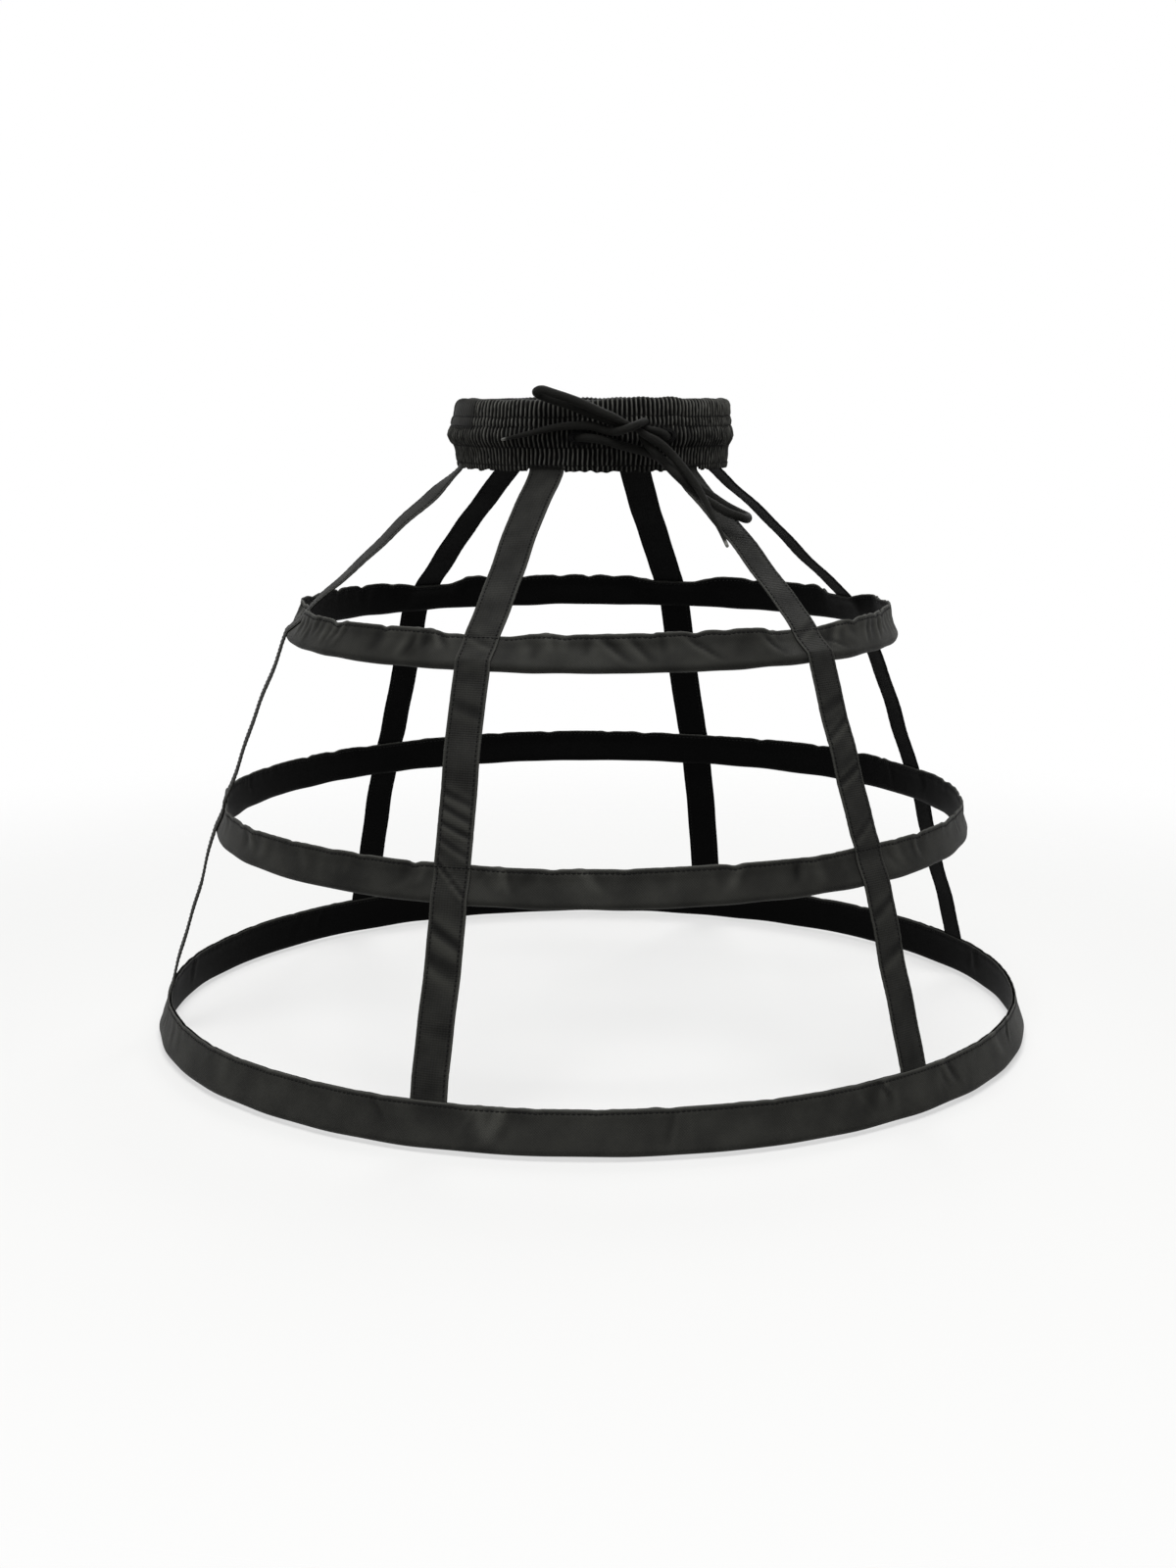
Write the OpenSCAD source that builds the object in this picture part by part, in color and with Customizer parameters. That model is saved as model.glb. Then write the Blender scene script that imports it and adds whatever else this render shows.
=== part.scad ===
// Hoop skirt cage: three boned hoops on six tapes, hung from a gathered drawstring waistband.
// Millimetres. The origin is the middle of the waist, +Z is up and the front faces -Y.

/* [Waistband] */
// Inside radius of the relaxed waist
waist_radius = 87; // [72:1:115]
// Height of the top row, above the first line of stitching
header_row = 12; // [10:0.5:18]
// Height of the row that holds the narrow elastic
narrow_row = 6.5; // [6:0.5:10]
// Height of the row that the drawstring runs in
cord_row = 14; // [10:0.5:20]
// Height of the row that holds the wide elastic
wide_row = 12; // [10:0.5:18]
// Height of the frill under the last line of stitching
frill = 3.5; // [2:0.5:6]
// Thickness of the inner plies, with the elastics and the drawstring let into them
lining_thickness = 8.4; // [8:0.1:11]
// Number of gathers round the waist
gathers = 150; // [90:10:160]
// How far a gather rises above or sinks below the mean
gather_depth = 1.5; // [0.8:0.1:2]
// Cloth left under the bottom of a gather
gather_floor = 0.75; // [0.5:0.05:1.5]
// How far the plain rows puff out between two lines of stitching
row_puff = 0.5; // [0.2:0.1:2]
// How far the drawstring's row puffs out
cord_puff = 2.6; // [1:0.1:5]
// Width of the flat patch where the ends of the band are joined
seam_patch = 53; // [10:1:80]
// Azimuth of that patch, from centre front
seam_azimuth = -81; // [-130:1:-55]
// Thickness of the elastic tapes
elastic_thickness = 1.4; // [0.8:0.1:2]
// Plain cloth between an elastic and the stitching on each side of it
elastic_margin = 1.5; // [0.5:0.1:2]

/* [Drawstring] */
// Diameter of the braided cord
cord_d = 6; // [4:0.5:6.5]
// Width of the buttonholes that the cord leaves by
buttonhole_width = 20; // [18:1:26]
// Height of the buttonholes
buttonhole_height = 9; // [7:0.5:11]

/* [Hoops] */
// Radius of the top hoop's rod
top_hoop_radius = 217.5; // [190:0.5:240]
// Radius of the middle hoop's rod
middle_hoop_radius = 271; // [245:0.5:295]
// Radius of the bottom hoop's rod
bottom_hoop_radius = 316; // [290:0.5:350]
// Depth of the top hoop's rod under the middle of the waist
top_hoop_drop = 142; // [110:0.5:170]
// Depth of the middle hoop's rod under the middle of the waist
middle_hoop_drop = 282.5; // [240:0.5:330]
// Depth of the bottom hoop's rod under the middle of the waist
bottom_hoop_drop = 427; // [380:0.5:480]
// Inward lean of the top casing
top_lean = 18; // [8:1:26]
// Inward lean of the middle casing
middle_lean = 4; // [0:1:12]
// Inward lean of the bottom casing
bottom_lean = 10; // [4:1:16]
// Height of the top and middle casings
upper_casing_height = 25.5; // [20:0.5:32]
// Height of the bottom casing
bottom_casing_height = 29; // [24:0.5:36]
// Height of the flat sewn edge along the top of a casing
casing_seam = 8.5; // [5:0.5:11]
// Thickness of one ply of casing cloth
casing_cloth = 0.6; // [0.4:0.05:1]
// Diameter of the plastic-covered spring steel rod
rod_d = 5; // [3:0.25:6]
// Wall of the sleeve that joins the ends of a rod
sleeve_wall = 0.6; // [0.4:0.05:1]
// Length of the sleeve
sleeve_length = 36; // [20:1:60]

/* [Straps] */
// Width of the tapes
strap_width = 25; // [18:0.5:32]
// Thickness of the doubled tape
strap_thickness = 1.2; // [0.8:0.05:1.6]
// Length of tape caught inside the bottom casing
strap_tuck = 12; // [6:0.5:14]
// Azimuth of the front left tape, from centre front
front_left_azimuth = -30; // [-45:1:-20]
// Azimuth of the front right tape
front_right_azimuth = 31; // [20:1:45]
// Azimuth of the right side tape
side_right_azimuth = 101; // [80:1:105]
// Azimuth of the back right tape
back_right_azimuth = 150; // [140:1:165]
// Azimuth of the back left tape
back_left_azimuth = 208; // [195:1:220]
// Azimuth of the left side tape
side_left_azimuth = 268; // [250:1:280]

/* [Clearances] */
// Clearance round an elastic in its groove
elastic_clearance = 0.2; // [0.1:0.05:0.4]
// Clearance round the drawstring in its channel
cord_clearance = 0.3; // [0.1:0.05:0.6]
// Gap between plies that are sewn face to face
ply_gap = 0.15; // [0.05:0.05:0.4]
// Clearance between rod and sleeve
sleeve_clearance = 0.1; // [0.05:0.01:0.2]
// Clearance between sleeve and casing
casing_clearance = 0.2; // [0.1:0.05:0.5]

/* [Hidden] */
$fn = 96;

cloth_black = "#262624";
strap_black = "#2d2d2b";
cord_black = "#1e1e1d";
elastic_black = "#161616";
rod_white = "#d8d8d2";
sleeve_metal = "#b0aca2";

// Levels of the waistband's lines of stitching, from the top down.
band_height = header_row + narrow_row + cord_row + wide_row + frill;
z_top = band_height / 2;
z_header = z_top - header_row;
z_narrow = z_header - narrow_row;
z_cord = z_narrow - cord_row;
z_wide = z_cord - wide_row;
z_bottom = -z_top;

// Radii of the waistband, from the bore out.
cord_r = cord_d / 2;
channel_r = cord_r + cord_clearance;
lining_radius = waist_radius + lining_thickness;
shell_inside = lining_radius + ply_gap;
groove_radius = lining_radius - elastic_thickness - elastic_clearance;
channel_radius = lining_radius - channel_r - ply_gap;
channel_z = (z_narrow + z_cord) / 2;
line_swing = 0.8;
stitch_radius = shell_inside + gather_floor + line_swing * gather_depth;
row_radius = stitch_radius + row_puff;
cord_row_radius = stitch_radius + cord_puff;

// The tape's end lies in a rebate of the lining, under the shell.
tab_height = frill + 1;
tab_radius = lining_radius - ply_gap - strap_thickness / 2;
rebate_radius = tab_radius - strap_thickness / 2 - ply_gap;

// Section of a casing about its rod: a round fold, a taper and a flat sewn edge.
rod_r = rod_d / 2;
sleeve_r = rod_r + sleeve_clearance + sleeve_wall;
cavity_r = sleeve_r + casing_clearance;
fold_r = cavity_r + casing_cloth;
edge_half = casing_cloth + ply_gap / 2;
slot_half = strap_thickness / 2 + ply_gap;
slot_edge_half = slot_half + casing_cloth;
upper_rise = upper_casing_height - fold_r;
bottom_rise = bottom_casing_height - fold_r;
strap_off = strap_thickness / 2 + ply_gap;

top_hoop = [top_hoop_radius, -top_hoop_drop];
middle_hoop = [middle_hoop_radius, -middle_hoop_drop];
bottom_hoop = [bottom_hoop_radius, -bottom_hoop_drop];

// A point of a casing's section, out and up from its rod, in the radial plane.
function in_plane(hoop, lean, out, up) =
    hoop + out * [cos(lean), sin(lean)] + up * [-sin(lean), cos(lean)];

// Angle of the tangent from an edge of the given half thickness to the fold round the rod.
function taper(half, up, r) = atan2(up, half) - acos(r / norm([half, up]));

function on_fold(hoop, angle) = hoop + (fold_r + strap_off) * [cos(angle), sin(angle)];

// Angle at which the tape leaves a hoop for a point below it.
function leave(hoop, goal) =
    let (d = goal - hoop) atan2(d[1], d[0]) + acos((fold_r + strap_off) / norm(d));

// The tape over one hoop: down the sewn edge, out over the fold and away to the goal.
function over_hoop(hoop, lean, goal) =
    let (
        seam_up = upper_rise - casing_seam,
        bend = taper(edge_half, seam_up, fold_r),
        first = bend + lean,
        last = leave(hoop, goal),
        steps = 4
    )
    concat(
        [in_plane(hoop, lean, edge_half + strap_off, upper_rise)],
        [in_plane(hoop, lean, edge_half + strap_off, seam_up + strap_off * tan(bend / 2))],
        last < first - 1
            ? [for (i = [0 : steps]) on_fold(hoop, first + (last - first) * i / steps)]
            : [on_fold(hoop, first)]
    );

middle_goal = in_plane(middle_hoop, middle_lean, edge_half + strap_off, upper_rise);
bottom_goal = in_plane(bottom_hoop, bottom_lean, 0, bottom_rise + 2);

// Middle line of a tape, from the waistband's seam to the bottom casing's seam.
strap_path = concat(
    [[tab_radius, z_bottom + tab_height - 2 * ply_gap]],
    [[tab_radius, z_bottom - strap_thickness / 2]],
    over_hoop(top_hoop, top_lean, middle_goal),
    over_hoop(middle_hoop, middle_lean, bottom_goal),
    [bottom_goal],
    [in_plane(bottom_hoop, bottom_lean, 0, bottom_rise - strap_tuck)]
);

function unit(v) = v / norm(v);
function left_of(v) = [-v[1], v[0]];

// A path moved sideways by a distance, with mitred corners.
function beside(path, d) = [
    for (i = [0 : len(path) - 1])
        let (
            a = unit(path[max(i, 1)] - path[max(i, 1) - 1]),
            b = unit(path[min(i + 1, len(path) - 1)] - path[min(i, len(path) - 2)]),
            m = unit(left_of(a) + left_of(b))
        )
        path[i] + m * d / (m * left_of(a))
];

function reversed(list) = [for (i = [len(list) - 1 : -1 : 0]) list[i]];

// Rings of the gathered shell, from the top edge down: level, mean radius, swing, and the share of
// the swing that is left on the flat patch.
top_tuck = 1.2;
narrow_puff = 0.5;
patch_swing = 0.1;
shell_rings = [
    [z_top, stitch_radius - top_tuck, 0.5, patch_swing],
    [z_top - header_row / 2, row_radius, 1, patch_swing],
    [z_header, stitch_radius, line_swing, patch_swing],
    [z_header - narrow_row / 2, row_radius + narrow_puff, 1, patch_swing],
    [z_narrow, stitch_radius + narrow_puff, line_swing, 0.4],
    [channel_z + cord_row / 5, cord_row_radius, 1, 1],
    [channel_z - cord_row / 5, cord_row_radius, 1, 1],
    [z_cord, stitch_radius, line_swing, 1],
    [z_cord - wide_row / 2, stitch_radius, line_swing, 1],
    [z_wide, stitch_radius, line_swing, 1],
    [z_bottom, stitch_radius, line_swing, 1],
    [z_bottom, shell_inside, 0, 1],
    [z_top, shell_inside, 0, 1]
];
columns = 2 * gathers;

function patch(column, calm) =
    let (turn = column * 360 / columns, half = seam_patch / stitch_radius * 90 / PI)
    abs(turn - 270 - seam_azimuth) < half ? calm : 1;

function shell_point(ring, column) =
    let (
        swing = ring[2] * gather_depth * patch(column, ring[3]),
        r = ring[1] + (column % 2 == 0 ? swing : -swing),
        turn = column * 360 / columns
    )
    [r * cos(turn), r * sin(turn), ring[0]];

shell_points = [for (ring = shell_rings) for (c = [0 : columns - 1]) shell_point(ring, c)];

shell_faces = [
    for (k = [0 : len(shell_rings) - 1])
        for (c = [0 : columns - 1])
            let (
                below = (k + 1) % len(shell_rings),
                next = (c + 1) % columns,
                p = k * columns + c,
                q = k * columns + next,
                s = below * columns + next,
                t = below * columns + c
            )
            for (face = [[p, q, s], [p, s, t]]) face
];

// Free ends of the drawstring, as azimuth, radius and height, and its share of the full thickness
// where the knot squeezes it: out of the buttonhole, round the bow's loop, through the knot and
// away to the sealed tip.
left_route = [
    [-25, 92, -1.5],
    [-21, 92.7, -1.5],
    [-17, 97.6, -1.3],
    [-13, 104.4, -1.2],
    [-6.5, 105.2, -3],
    [0, 105.2, -6.5],
    [11, 105.2, -12],
    [16.5, 105.6, -17],
    [21, 107.2, -22.5],
    [25.5, 107.5, -28.5],
    [28.5, 113.5, -34.5],
    [31.5, 121, -41],
    [34, 129.5, -47.5],
    [36.5, 136, -52],
    [37, 142, -54.5],
    [34, 148, -55.5],
    [30.5, 149.5, -53.5],
    [27.5, 144.5, -50],
    [25.5, 136.5, -45],
    [23.5, 129, -40],
    [21, 124, -34],
    [17.5, 120.5, -26.5],
    [15.5, 113.4, -19.5],
    [12, 112.4, -12.5],
    [9, 109.6, -6, 0.85],
    [7.5, 105.2, -0.5, 0.7],
    [8, 104.3, 5, 0.66],
    [8.4, 106.4, 8.6, 0.7],
    [7.8, 110.8, 9.8, 0.8],
    [5.6, 115.8, 9, 0.9],
    [3.2, 118.3, 7.2, 0.95],
    [0.8, 117.8, 5.2, 0.95],
    [-1.2, 114.2, 3.6, 0.95],
    [-3, 109.6, 2.8, 0.95],
    [-5.5, 106.7, 3.6],
    [-8.5, 105.6, 5.2],
    [-13, 105.5, 7],
    [-23, 105.2, 6],
    [-34.5, 105, 1.5],
    [-47, 104, -3]
];
right_route = [
    [28, 92, -1.5],
    [24.5, 92.7, -1.5],
    [20.5, 97.8, -1.2],
    [16.8, 104.6, 0.6],
    [12.5, 107.4, 3.2, 0.9],
    [9, 109, 4.4, 0.75],
    [5, 109, 5.6, 0.68],
    [1, 108.4, 7, 0.78],
    [-3, 106.6, 9, 0.92],
    [-8, 105.2, 12.5],
    [-14, 105, 16.5],
    [-19.5, 104.8, 20.5],
    [-25, 104.6, 23.5],
    [-29, 104.8, 26],
    [-31, 107, 28],
    [-30.5, 110.4, 29.5],
    [-28, 113, 30.5],
    [-24.5, 113.4, 28.5],
    [-19, 112.2, 25],
    [-13.5, 111.4, 21],
    [-8.5, 111.4, 16.5],
    [-3.5, 112.2, 12.5, 0.9],
    [0, 113, 9, 0.74],
    [4, 113.2, 5, 0.68],
    [7.5, 113.8, 0.5, 0.85],
    [12, 115, -4.5],
    [16.5, 117.5, -13],
    [19.5, 125, -24],
    [21.5, 132.5, -34.5],
    [22, 140.5, -44],
    [22, 149, -53.5],
    [22, 157.5, -62.5],
    [21.5, 166.5, -71]
];
cord_sides = 8;

function place(p) = [p[1] * sin(p[0]), -p[1] * cos(p[0]), p[2]];

function tangents(path) = [
    for (i = [0 : len(path) - 1]) unit(path[min(i + 1, len(path) - 1)] - path[max(i - 1, 0)])
];

// Normals carried along the path without twist.
function normals(t, n, i = 0) =
    i == len(t) ? [] : let (m = unit(n - (n * t[i]) * t[i])) concat([m], normals(t, m, i + 1));

function squeezed(p) = is_undef(p[3]) ? 1 : p[3];

// The last rings narrow to the sealed tip.
function ring_radius(route, i) = cord_r * min(squeezed(route[i]), 0.4 + 0.2 * (len(route) - 1 - i));

module tube(route) {
    path = [for (p = route) place(p)];
    t = tangents(path);
    n = normals(t, [0, 0, 1]);
    count = len(path);
    points = [
        for (i = [0 : count - 1])
            for (s = [0 : cord_sides - 1])
                let (a = s * 360 / cord_sides)
                path[i] + ring_radius(route, i) * (cos(a) * n[i] + sin(a) * cross(t[i], n[i]))
    ];
    walls = [
        for (i = [0 : count - 2])
            for (s = [0 : cord_sides - 1])
                let (
                    next = (s + 1) % cord_sides,
                    p = i * cord_sides + s,
                    q = i * cord_sides + next,
                    u = (i + 1) * cord_sides + next,
                    v = (i + 1) * cord_sides + s
                )
                for (face = [[p, u, q], [p, v, u]]) face
    ];
    first = [for (s = [0 : cord_sides - 1]) s];
    last = [for (s = [cord_sides - 1 : -1 : 0]) (count - 1) * cord_sides + s];
    polyhedron(points, concat([first], walls, [last]), convexity = 10);
}

module elastic(upper, lower) {
    margin = elastic_margin + elastic_clearance;
    rotate_extrude()
        translate([groove_radius + elastic_clearance, lower + margin])
            square([elastic_thickness - elastic_clearance, upper - lower - 2 * margin]);
}

module groove(upper, lower) {
    translate([groove_radius, lower + elastic_margin])
        square([lining_thickness, upper - lower - 2 * elastic_margin]);
}

module waistband_lining() {
    color(cloth_black)
    rotate_extrude()
        difference() {
            translate([waist_radius, z_bottom])
                square([lining_thickness, band_height]);
            groove(z_top, z_header);
            groove(z_header, z_narrow);
            groove(z_cord, z_wide);
            translate([channel_radius, channel_z])
                circle(channel_r);
            translate([channel_radius, channel_z - channel_r])
                square([lining_thickness, 2 * channel_r]);
            translate([rebate_radius, z_bottom - 1])
                square([lining_thickness, tab_height + 1]);
        }
}

module waistband_shell() {
    color(cloth_black)
    difference() {
        polyhedron(shell_points, shell_faces, convexity = 10);
        buttonhole(left_route[2][0]);
        buttonhole(right_route[2][0]);
    }
}

module buttonhole(azimuth) {
    rotate([0, 0, azimuth])
        translate([-buttonhole_width / 2, -cord_row_radius - 2 * gather_depth, channel_z - buttonhole_height / 2])
            cube([buttonhole_width, cord_row_radius + 2 * gather_depth - channel_radius, buttonhole_height]);
}

module elastic_header() {
    color(elastic_black)
    elastic(z_top, z_header);
}

module elastic_narrow() {
    color(elastic_black)
    elastic(z_header, z_narrow);
}

module elastic_wide() {
    color(elastic_black)
    elastic(z_cord, z_wide);
}

// The drawstring's run round the waist, which starts and ends where its free ends leave.
module drawstring_channel() {
    joint = 0.3;
    start = right_route[0][0] + joint;
    end = 360 + left_route[0][0] - joint;
    color(cord_black)
    rotate([0, 0, start - 90])
        rotate_extrude(angle = end - start)
            translate([channel_radius, channel_z])
                circle(cord_r);
}

module drawstring_left() {
    color(cord_black)
    tube(left_route);
}

module drawstring_right() {
    color(cord_black)
    tube(right_route);
}

// A tape lies on the hoops' round casings, so it is cut from a turned band by two flat sides.
module strap(azimuth) {
    span = 2 * asin(strap_width / 2 / rebate_radius) + 8;
    outline = concat(beside(strap_path, strap_thickness / 2), reversed(beside(strap_path, -strap_thickness / 2)));
    reach = bottom_hoop_radius + fold_r;
    color(strap_black)
    rotate([0, 0, azimuth - 90])
        intersection() {
            rotate([0, 0, -span / 2])
                rotate_extrude(angle = span)
                    polygon(outline);
            translate([0, -strap_width / 2, -bottom_hoop_drop])
                cube([reach, strap_width, bottom_hoop_drop + band_height]);
        }
}

module strap_front_left() {
    strap(front_left_azimuth);
}

module strap_front_right() {
    strap(front_right_azimuth);
}

module strap_side_right() {
    strap(side_right_azimuth);
}

module strap_back_right() {
    strap(back_right_azimuth);
}

module strap_back_left() {
    strap(back_left_azimuth);
}

module strap_side_left() {
    strap(side_left_azimuth);
}

// A round fold under the rod, from one straight side to the other.
function fold_line(r, half, seam_up) =
    let (bend = taper(half, seam_up, r), steps = 24)
    concat(
        [[half, seam_up]],
        [for (i = [0 : steps]) let (a = bend - (180 + 2 * bend) * i / steps) r * [cos(a), sin(a)]],
        [[-half, seam_up]]
    );

module turned(hoop, lean) {
    color(cloth_black)
    rotate_extrude()
        translate(hoop)
            rotate(lean)
                children();
}

// The upper casings are sewn shut along the top.
module closed_casing(hoop, lean) {
    seam_up = upper_rise - casing_seam;
    turned(hoop, lean)
        difference() {
            polygon(concat(
                [[edge_half, upper_rise]],
                fold_line(fold_r, edge_half, seam_up),
                [[-edge_half, upper_rise]]
            ));
            polygon(fold_line(cavity_r, edge_half - casing_cloth, seam_up));
        }
}

module casing_top() {
    closed_casing(top_hoop, top_lean);
}

module casing_middle() {
    closed_casing(middle_hoop, middle_lean);
}

// The bottom casing's plies stay apart along the top, to take the ends of the tapes.
module casing_bottom() {
    seam_up = bottom_rise - casing_seam;
    turned(bottom_hoop, bottom_lean)
        polygon(concat(
            [[slot_edge_half, bottom_rise]],
            fold_line(fold_r, slot_edge_half, seam_up),
            [[-slot_edge_half, bottom_rise]],
            [[-slot_half, bottom_rise]],
            reversed(fold_line(cavity_r, slot_half, seam_up)),
            [[slot_half, bottom_rise]]
        ));
}

// A rod's ends butt at centre back, inside the sleeve.
module rod(hoop) {
    gap = 2;
    turn = gap / hoop[0] * 180 / PI;
    color(rod_white)
    rotate([0, 0, 90 + turn / 2])
        rotate_extrude(angle = 360 - turn, $fn = 240)
            translate(hoop)
                circle(rod_r);
}

module sleeve(hoop) {
    turn = sleeve_length / hoop[0] * 180 / PI;
    color(sleeve_metal)
    rotate([0, 0, 90 - turn / 2])
        rotate_extrude(angle = turn)
            translate(hoop)
                difference() {
                    circle(sleeve_r);
                    circle(sleeve_r - sleeve_wall);
                }
}

module rod_top() {
    rod(top_hoop);
}

module rod_middle() {
    rod(middle_hoop);
}

module rod_bottom() {
    rod(bottom_hoop);
}

module sleeve_top() {
    sleeve(top_hoop);
}

module sleeve_middle() {
    sleeve(middle_hoop);
}

module sleeve_bottom() {
    sleeve(bottom_hoop);
}

waistband_lining();
waistband_shell();
elastic_header();
elastic_narrow();
elastic_wide();
drawstring_channel();
drawstring_left();
drawstring_right();
strap_front_left();
strap_front_right();
strap_side_right();
strap_back_right();
strap_back_left();
strap_side_left();
casing_top();
casing_middle();
casing_bottom();
rod_top();
rod_middle();
rod_bottom();
sleeve_top();
sleeve_middle();
sleeve_bottom();
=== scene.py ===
import math

import bmesh
import bpy
import numpy as np
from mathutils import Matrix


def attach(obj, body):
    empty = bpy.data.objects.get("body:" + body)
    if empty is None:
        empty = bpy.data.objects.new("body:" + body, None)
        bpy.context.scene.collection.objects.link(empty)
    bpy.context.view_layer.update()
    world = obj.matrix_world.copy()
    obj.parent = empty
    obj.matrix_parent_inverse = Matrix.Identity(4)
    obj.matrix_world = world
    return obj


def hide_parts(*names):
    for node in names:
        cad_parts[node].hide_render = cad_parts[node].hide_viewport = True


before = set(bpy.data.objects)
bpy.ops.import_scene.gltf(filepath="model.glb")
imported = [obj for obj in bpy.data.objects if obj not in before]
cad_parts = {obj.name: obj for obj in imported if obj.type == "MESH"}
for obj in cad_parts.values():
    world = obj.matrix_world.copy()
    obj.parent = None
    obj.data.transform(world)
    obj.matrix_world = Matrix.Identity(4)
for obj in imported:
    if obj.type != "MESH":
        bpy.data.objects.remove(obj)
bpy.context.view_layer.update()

# Camera and studio
# The cage hangs just clear of a pale paper floor, in front of the lens and a little to its right.
# A broad soft box hangs overhead and to the front, so outsides and top edges are lit and insides stay dark.
studio = bpy.context.scene
studio.view_settings.view_transform = "Standard"


def placed(name, data):
    """A new object in the scene, at its origin."""
    made = bpy.data.objects.new(name, data)
    studio.collection.objects.link(made)
    return made


lens_azimuth = math.radians(-11.0)
lens_distance = 1.5907
lens_height = 0.038
lens_dip = 10.513
lens = placed("lens", bpy.data.cameras.new("lens"))
lens.data.sensor_fit = "VERTICAL"
lens.data.sensor_height = 36.0
lens.data.lens = 50.19
lens.data.shift_x = -0.0025
lens.data.clip_start = 0.05
lens.location = lens_distance * math.sin(lens_azimuth), -lens_distance * math.cos(lens_azimuth), lens_height
lens.rotation_euler = (math.radians(90.0 - lens_dip), 0.0, lens_azimuth)
studio.camera = lens


def srgb(colour):
    """Linear colour from an sRGB hex value."""
    parts = [int(colour[i : i + 2], 16) / 255 for i in (1, 3, 5)]
    return [c / 12.92 if c <= 0.04045 else ((c + 0.055) / 1.055) ** 2.4 for c in parts] + [1.0]


def feed(node, inputs):
    """Sets a node's inputs, by name or in order, to values, to outputs or to other nodes' first outputs."""
    for name, value in inputs.items() if isinstance(inputs, dict) else enumerate(inputs):
        if isinstance(value, bpy.types.Node):
            value = next(output for output in value.outputs if output.enabled)
        if isinstance(value, bpy.types.NodeSocket):
            node.id_data.links.new(value, node.inputs[name])
        else:
            node.inputs[name].default_value = value


def add(tree, kind, inputs=None, **settings):
    """Adds a node with its settings and inputs; a kind is a shader's unless its name says otherwise."""
    made = tree.nodes.new(kind if "Node" in kind else "ShaderNode" + kind)
    for name, value in settings.items():
        setattr(made, name, value)
    feed(made, inputs or {})
    return made


def seen_directly(tree):
    """1 on rays that show a surface itself: to the lens, in a reflection or through glass."""
    rays = add(tree, "LightPath").outputs
    seen = add(tree, "Math", (rays["Is Camera Ray"], rays["Is Glossy Ray"]), operation="MAXIMUM")
    return add(tree, "Math", (seen, rays["Is Transmission Ray"]), operation="MAXIMUM")


world = bpy.data.worlds.new("studio")
world.use_nodes = True
sky = world.node_tree
sky.nodes.clear()
room = add(sky, "Background", {"Color": srgb("#ffffff"), "Strength": 0.06})
paper = add(sky, "Background", {"Color": srgb("#ffffff"), "Strength": 1.0})
both = add(sky, "MixShader", (seen_directly(sky), room, paper))
add(sky, "OutputWorld", {"Surface": both})
studio.world = world

lamp_target = np.array([0.0, 0.0, -0.2])
for name, place, size, power in (
    ("top_box", (-0.2, -0.85, 1.75), 1.3, 52.0),
    ("front_box", (-1.1, -2.2, 0.5), 1.2, 8.0),
    ("back_box", (0.5, 1.3, 1.5), 1.2, 26.0),
):
    lamp = placed(name, bpy.data.lights.new(name, "AREA"))
    lamp.data.size = size
    lamp.data.energy = power
    lamp.location = place
    aim = lamp_target - np.array(place)
    lamp.rotation_euler = (math.atan2(math.hypot(aim[0], aim[1]), -aim[2]), 0.0, math.atan2(-aim[0], aim[1]))

floor_level = -0.4335
floor_radius = 1.3
spokes = np.linspace(0, math.tau, 96, endpoint=False)
rim = [(floor_radius * math.cos(turn), floor_radius * math.sin(turn), floor_level) for turn in spokes]
floor = placed("paper_floor", bpy.data.meshes.new("paper_floor"))
floor.data.from_pydata(rim, [], [range(len(rim))])


def new_material(name):
    """A new material, with its node tree and its surface shader."""
    made = bpy.data.materials.new(name)
    made.use_nodes = True
    return made, made.node_tree, made.node_tree.nodes["Principled BSDF"]


# Matt white background paper. It fades out into the white room, so no far edge shows.
matt_paper, tree, _ = new_material("matt_background_paper")
tree.nodes.clear()
fade_range = {"From Min": 0.42, "From Max": 1.2}
here = add(tree, "TexCoord").outputs["Object"]
away = add(tree, "VectorMath", (here, (1.0, 1.0, 0.0)), operation="MULTIPLY")
away = add(tree, "VectorMath", (away,), operation="LENGTH")
fade = add(tree, "MapRange", {"Value": away, **fade_range}, interpolation_type="SMOOTHSTEP")
tooth = add(tree, "TexNoise", {"Vector": here, "Scale": 900.0})
press = add(tree, "Bump", {"Height": tooth, "Strength": 0.05, "Distance": 0.0002})
sheet_of_paper = add(tree, "BsdfDiffuse", {"Color": srgb("#dcdcda"), "Normal": press})
white = add(tree, "Emission", {"Color": srgb("#ffffff"), "Strength": 1.0})
whiter = add(tree, "Math", (seen_directly(tree), 0.6), operation="MULTIPLY")
pale = add(tree, "MixShader", (whiter, sheet_of_paper, white))
nothing = add(tree, "BsdfTransparent")
both = add(tree, "MixShader", (fade, pale, nothing))
add(tree, "OutputMaterial", {"Surface": both})
floor.data.materials.append(matt_paper)

# Hoop rods
# Three springy steel wires in a white plastic skin, bent round, with their ends butted at centre back.
# They lie loose inside the casings and hold them round; the CAD solids are kept.
coated, tree, skin = new_material("extruded_nylon_on_spring_steel")
here = add(tree, "TexCoord").outputs["Object"]
# Faint die lines and handling marks in extruded nylon, a millimetre or two apart.
marks = add(tree, "TexNoise", {"Vector": here, "Scale": 600.0, "Detail": 3.0})
tone = add(tree, "Mix", {"Factor": marks, "A": srgb("#d2d2cc"), "B": srgb("#e0e0da")}, data_type="RGBA")
press = add(tree, "Bump", {"Height": marks, "Strength": 0.1, "Distance": 0.0001})
feed(skin, {"Base Color": tone, "Normal": press, "Roughness": 0.38, "IOR": 1.53})


def finish_solids(material, *names):
    """Gives a finish to CAD solids that are kept."""
    for name in names:
        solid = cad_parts[name].data
        solid.materials.clear()
        solid.materials.append(material)


finish_solids(coated, "rod_top", "rod_middle", "rod_bottom")

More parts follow.
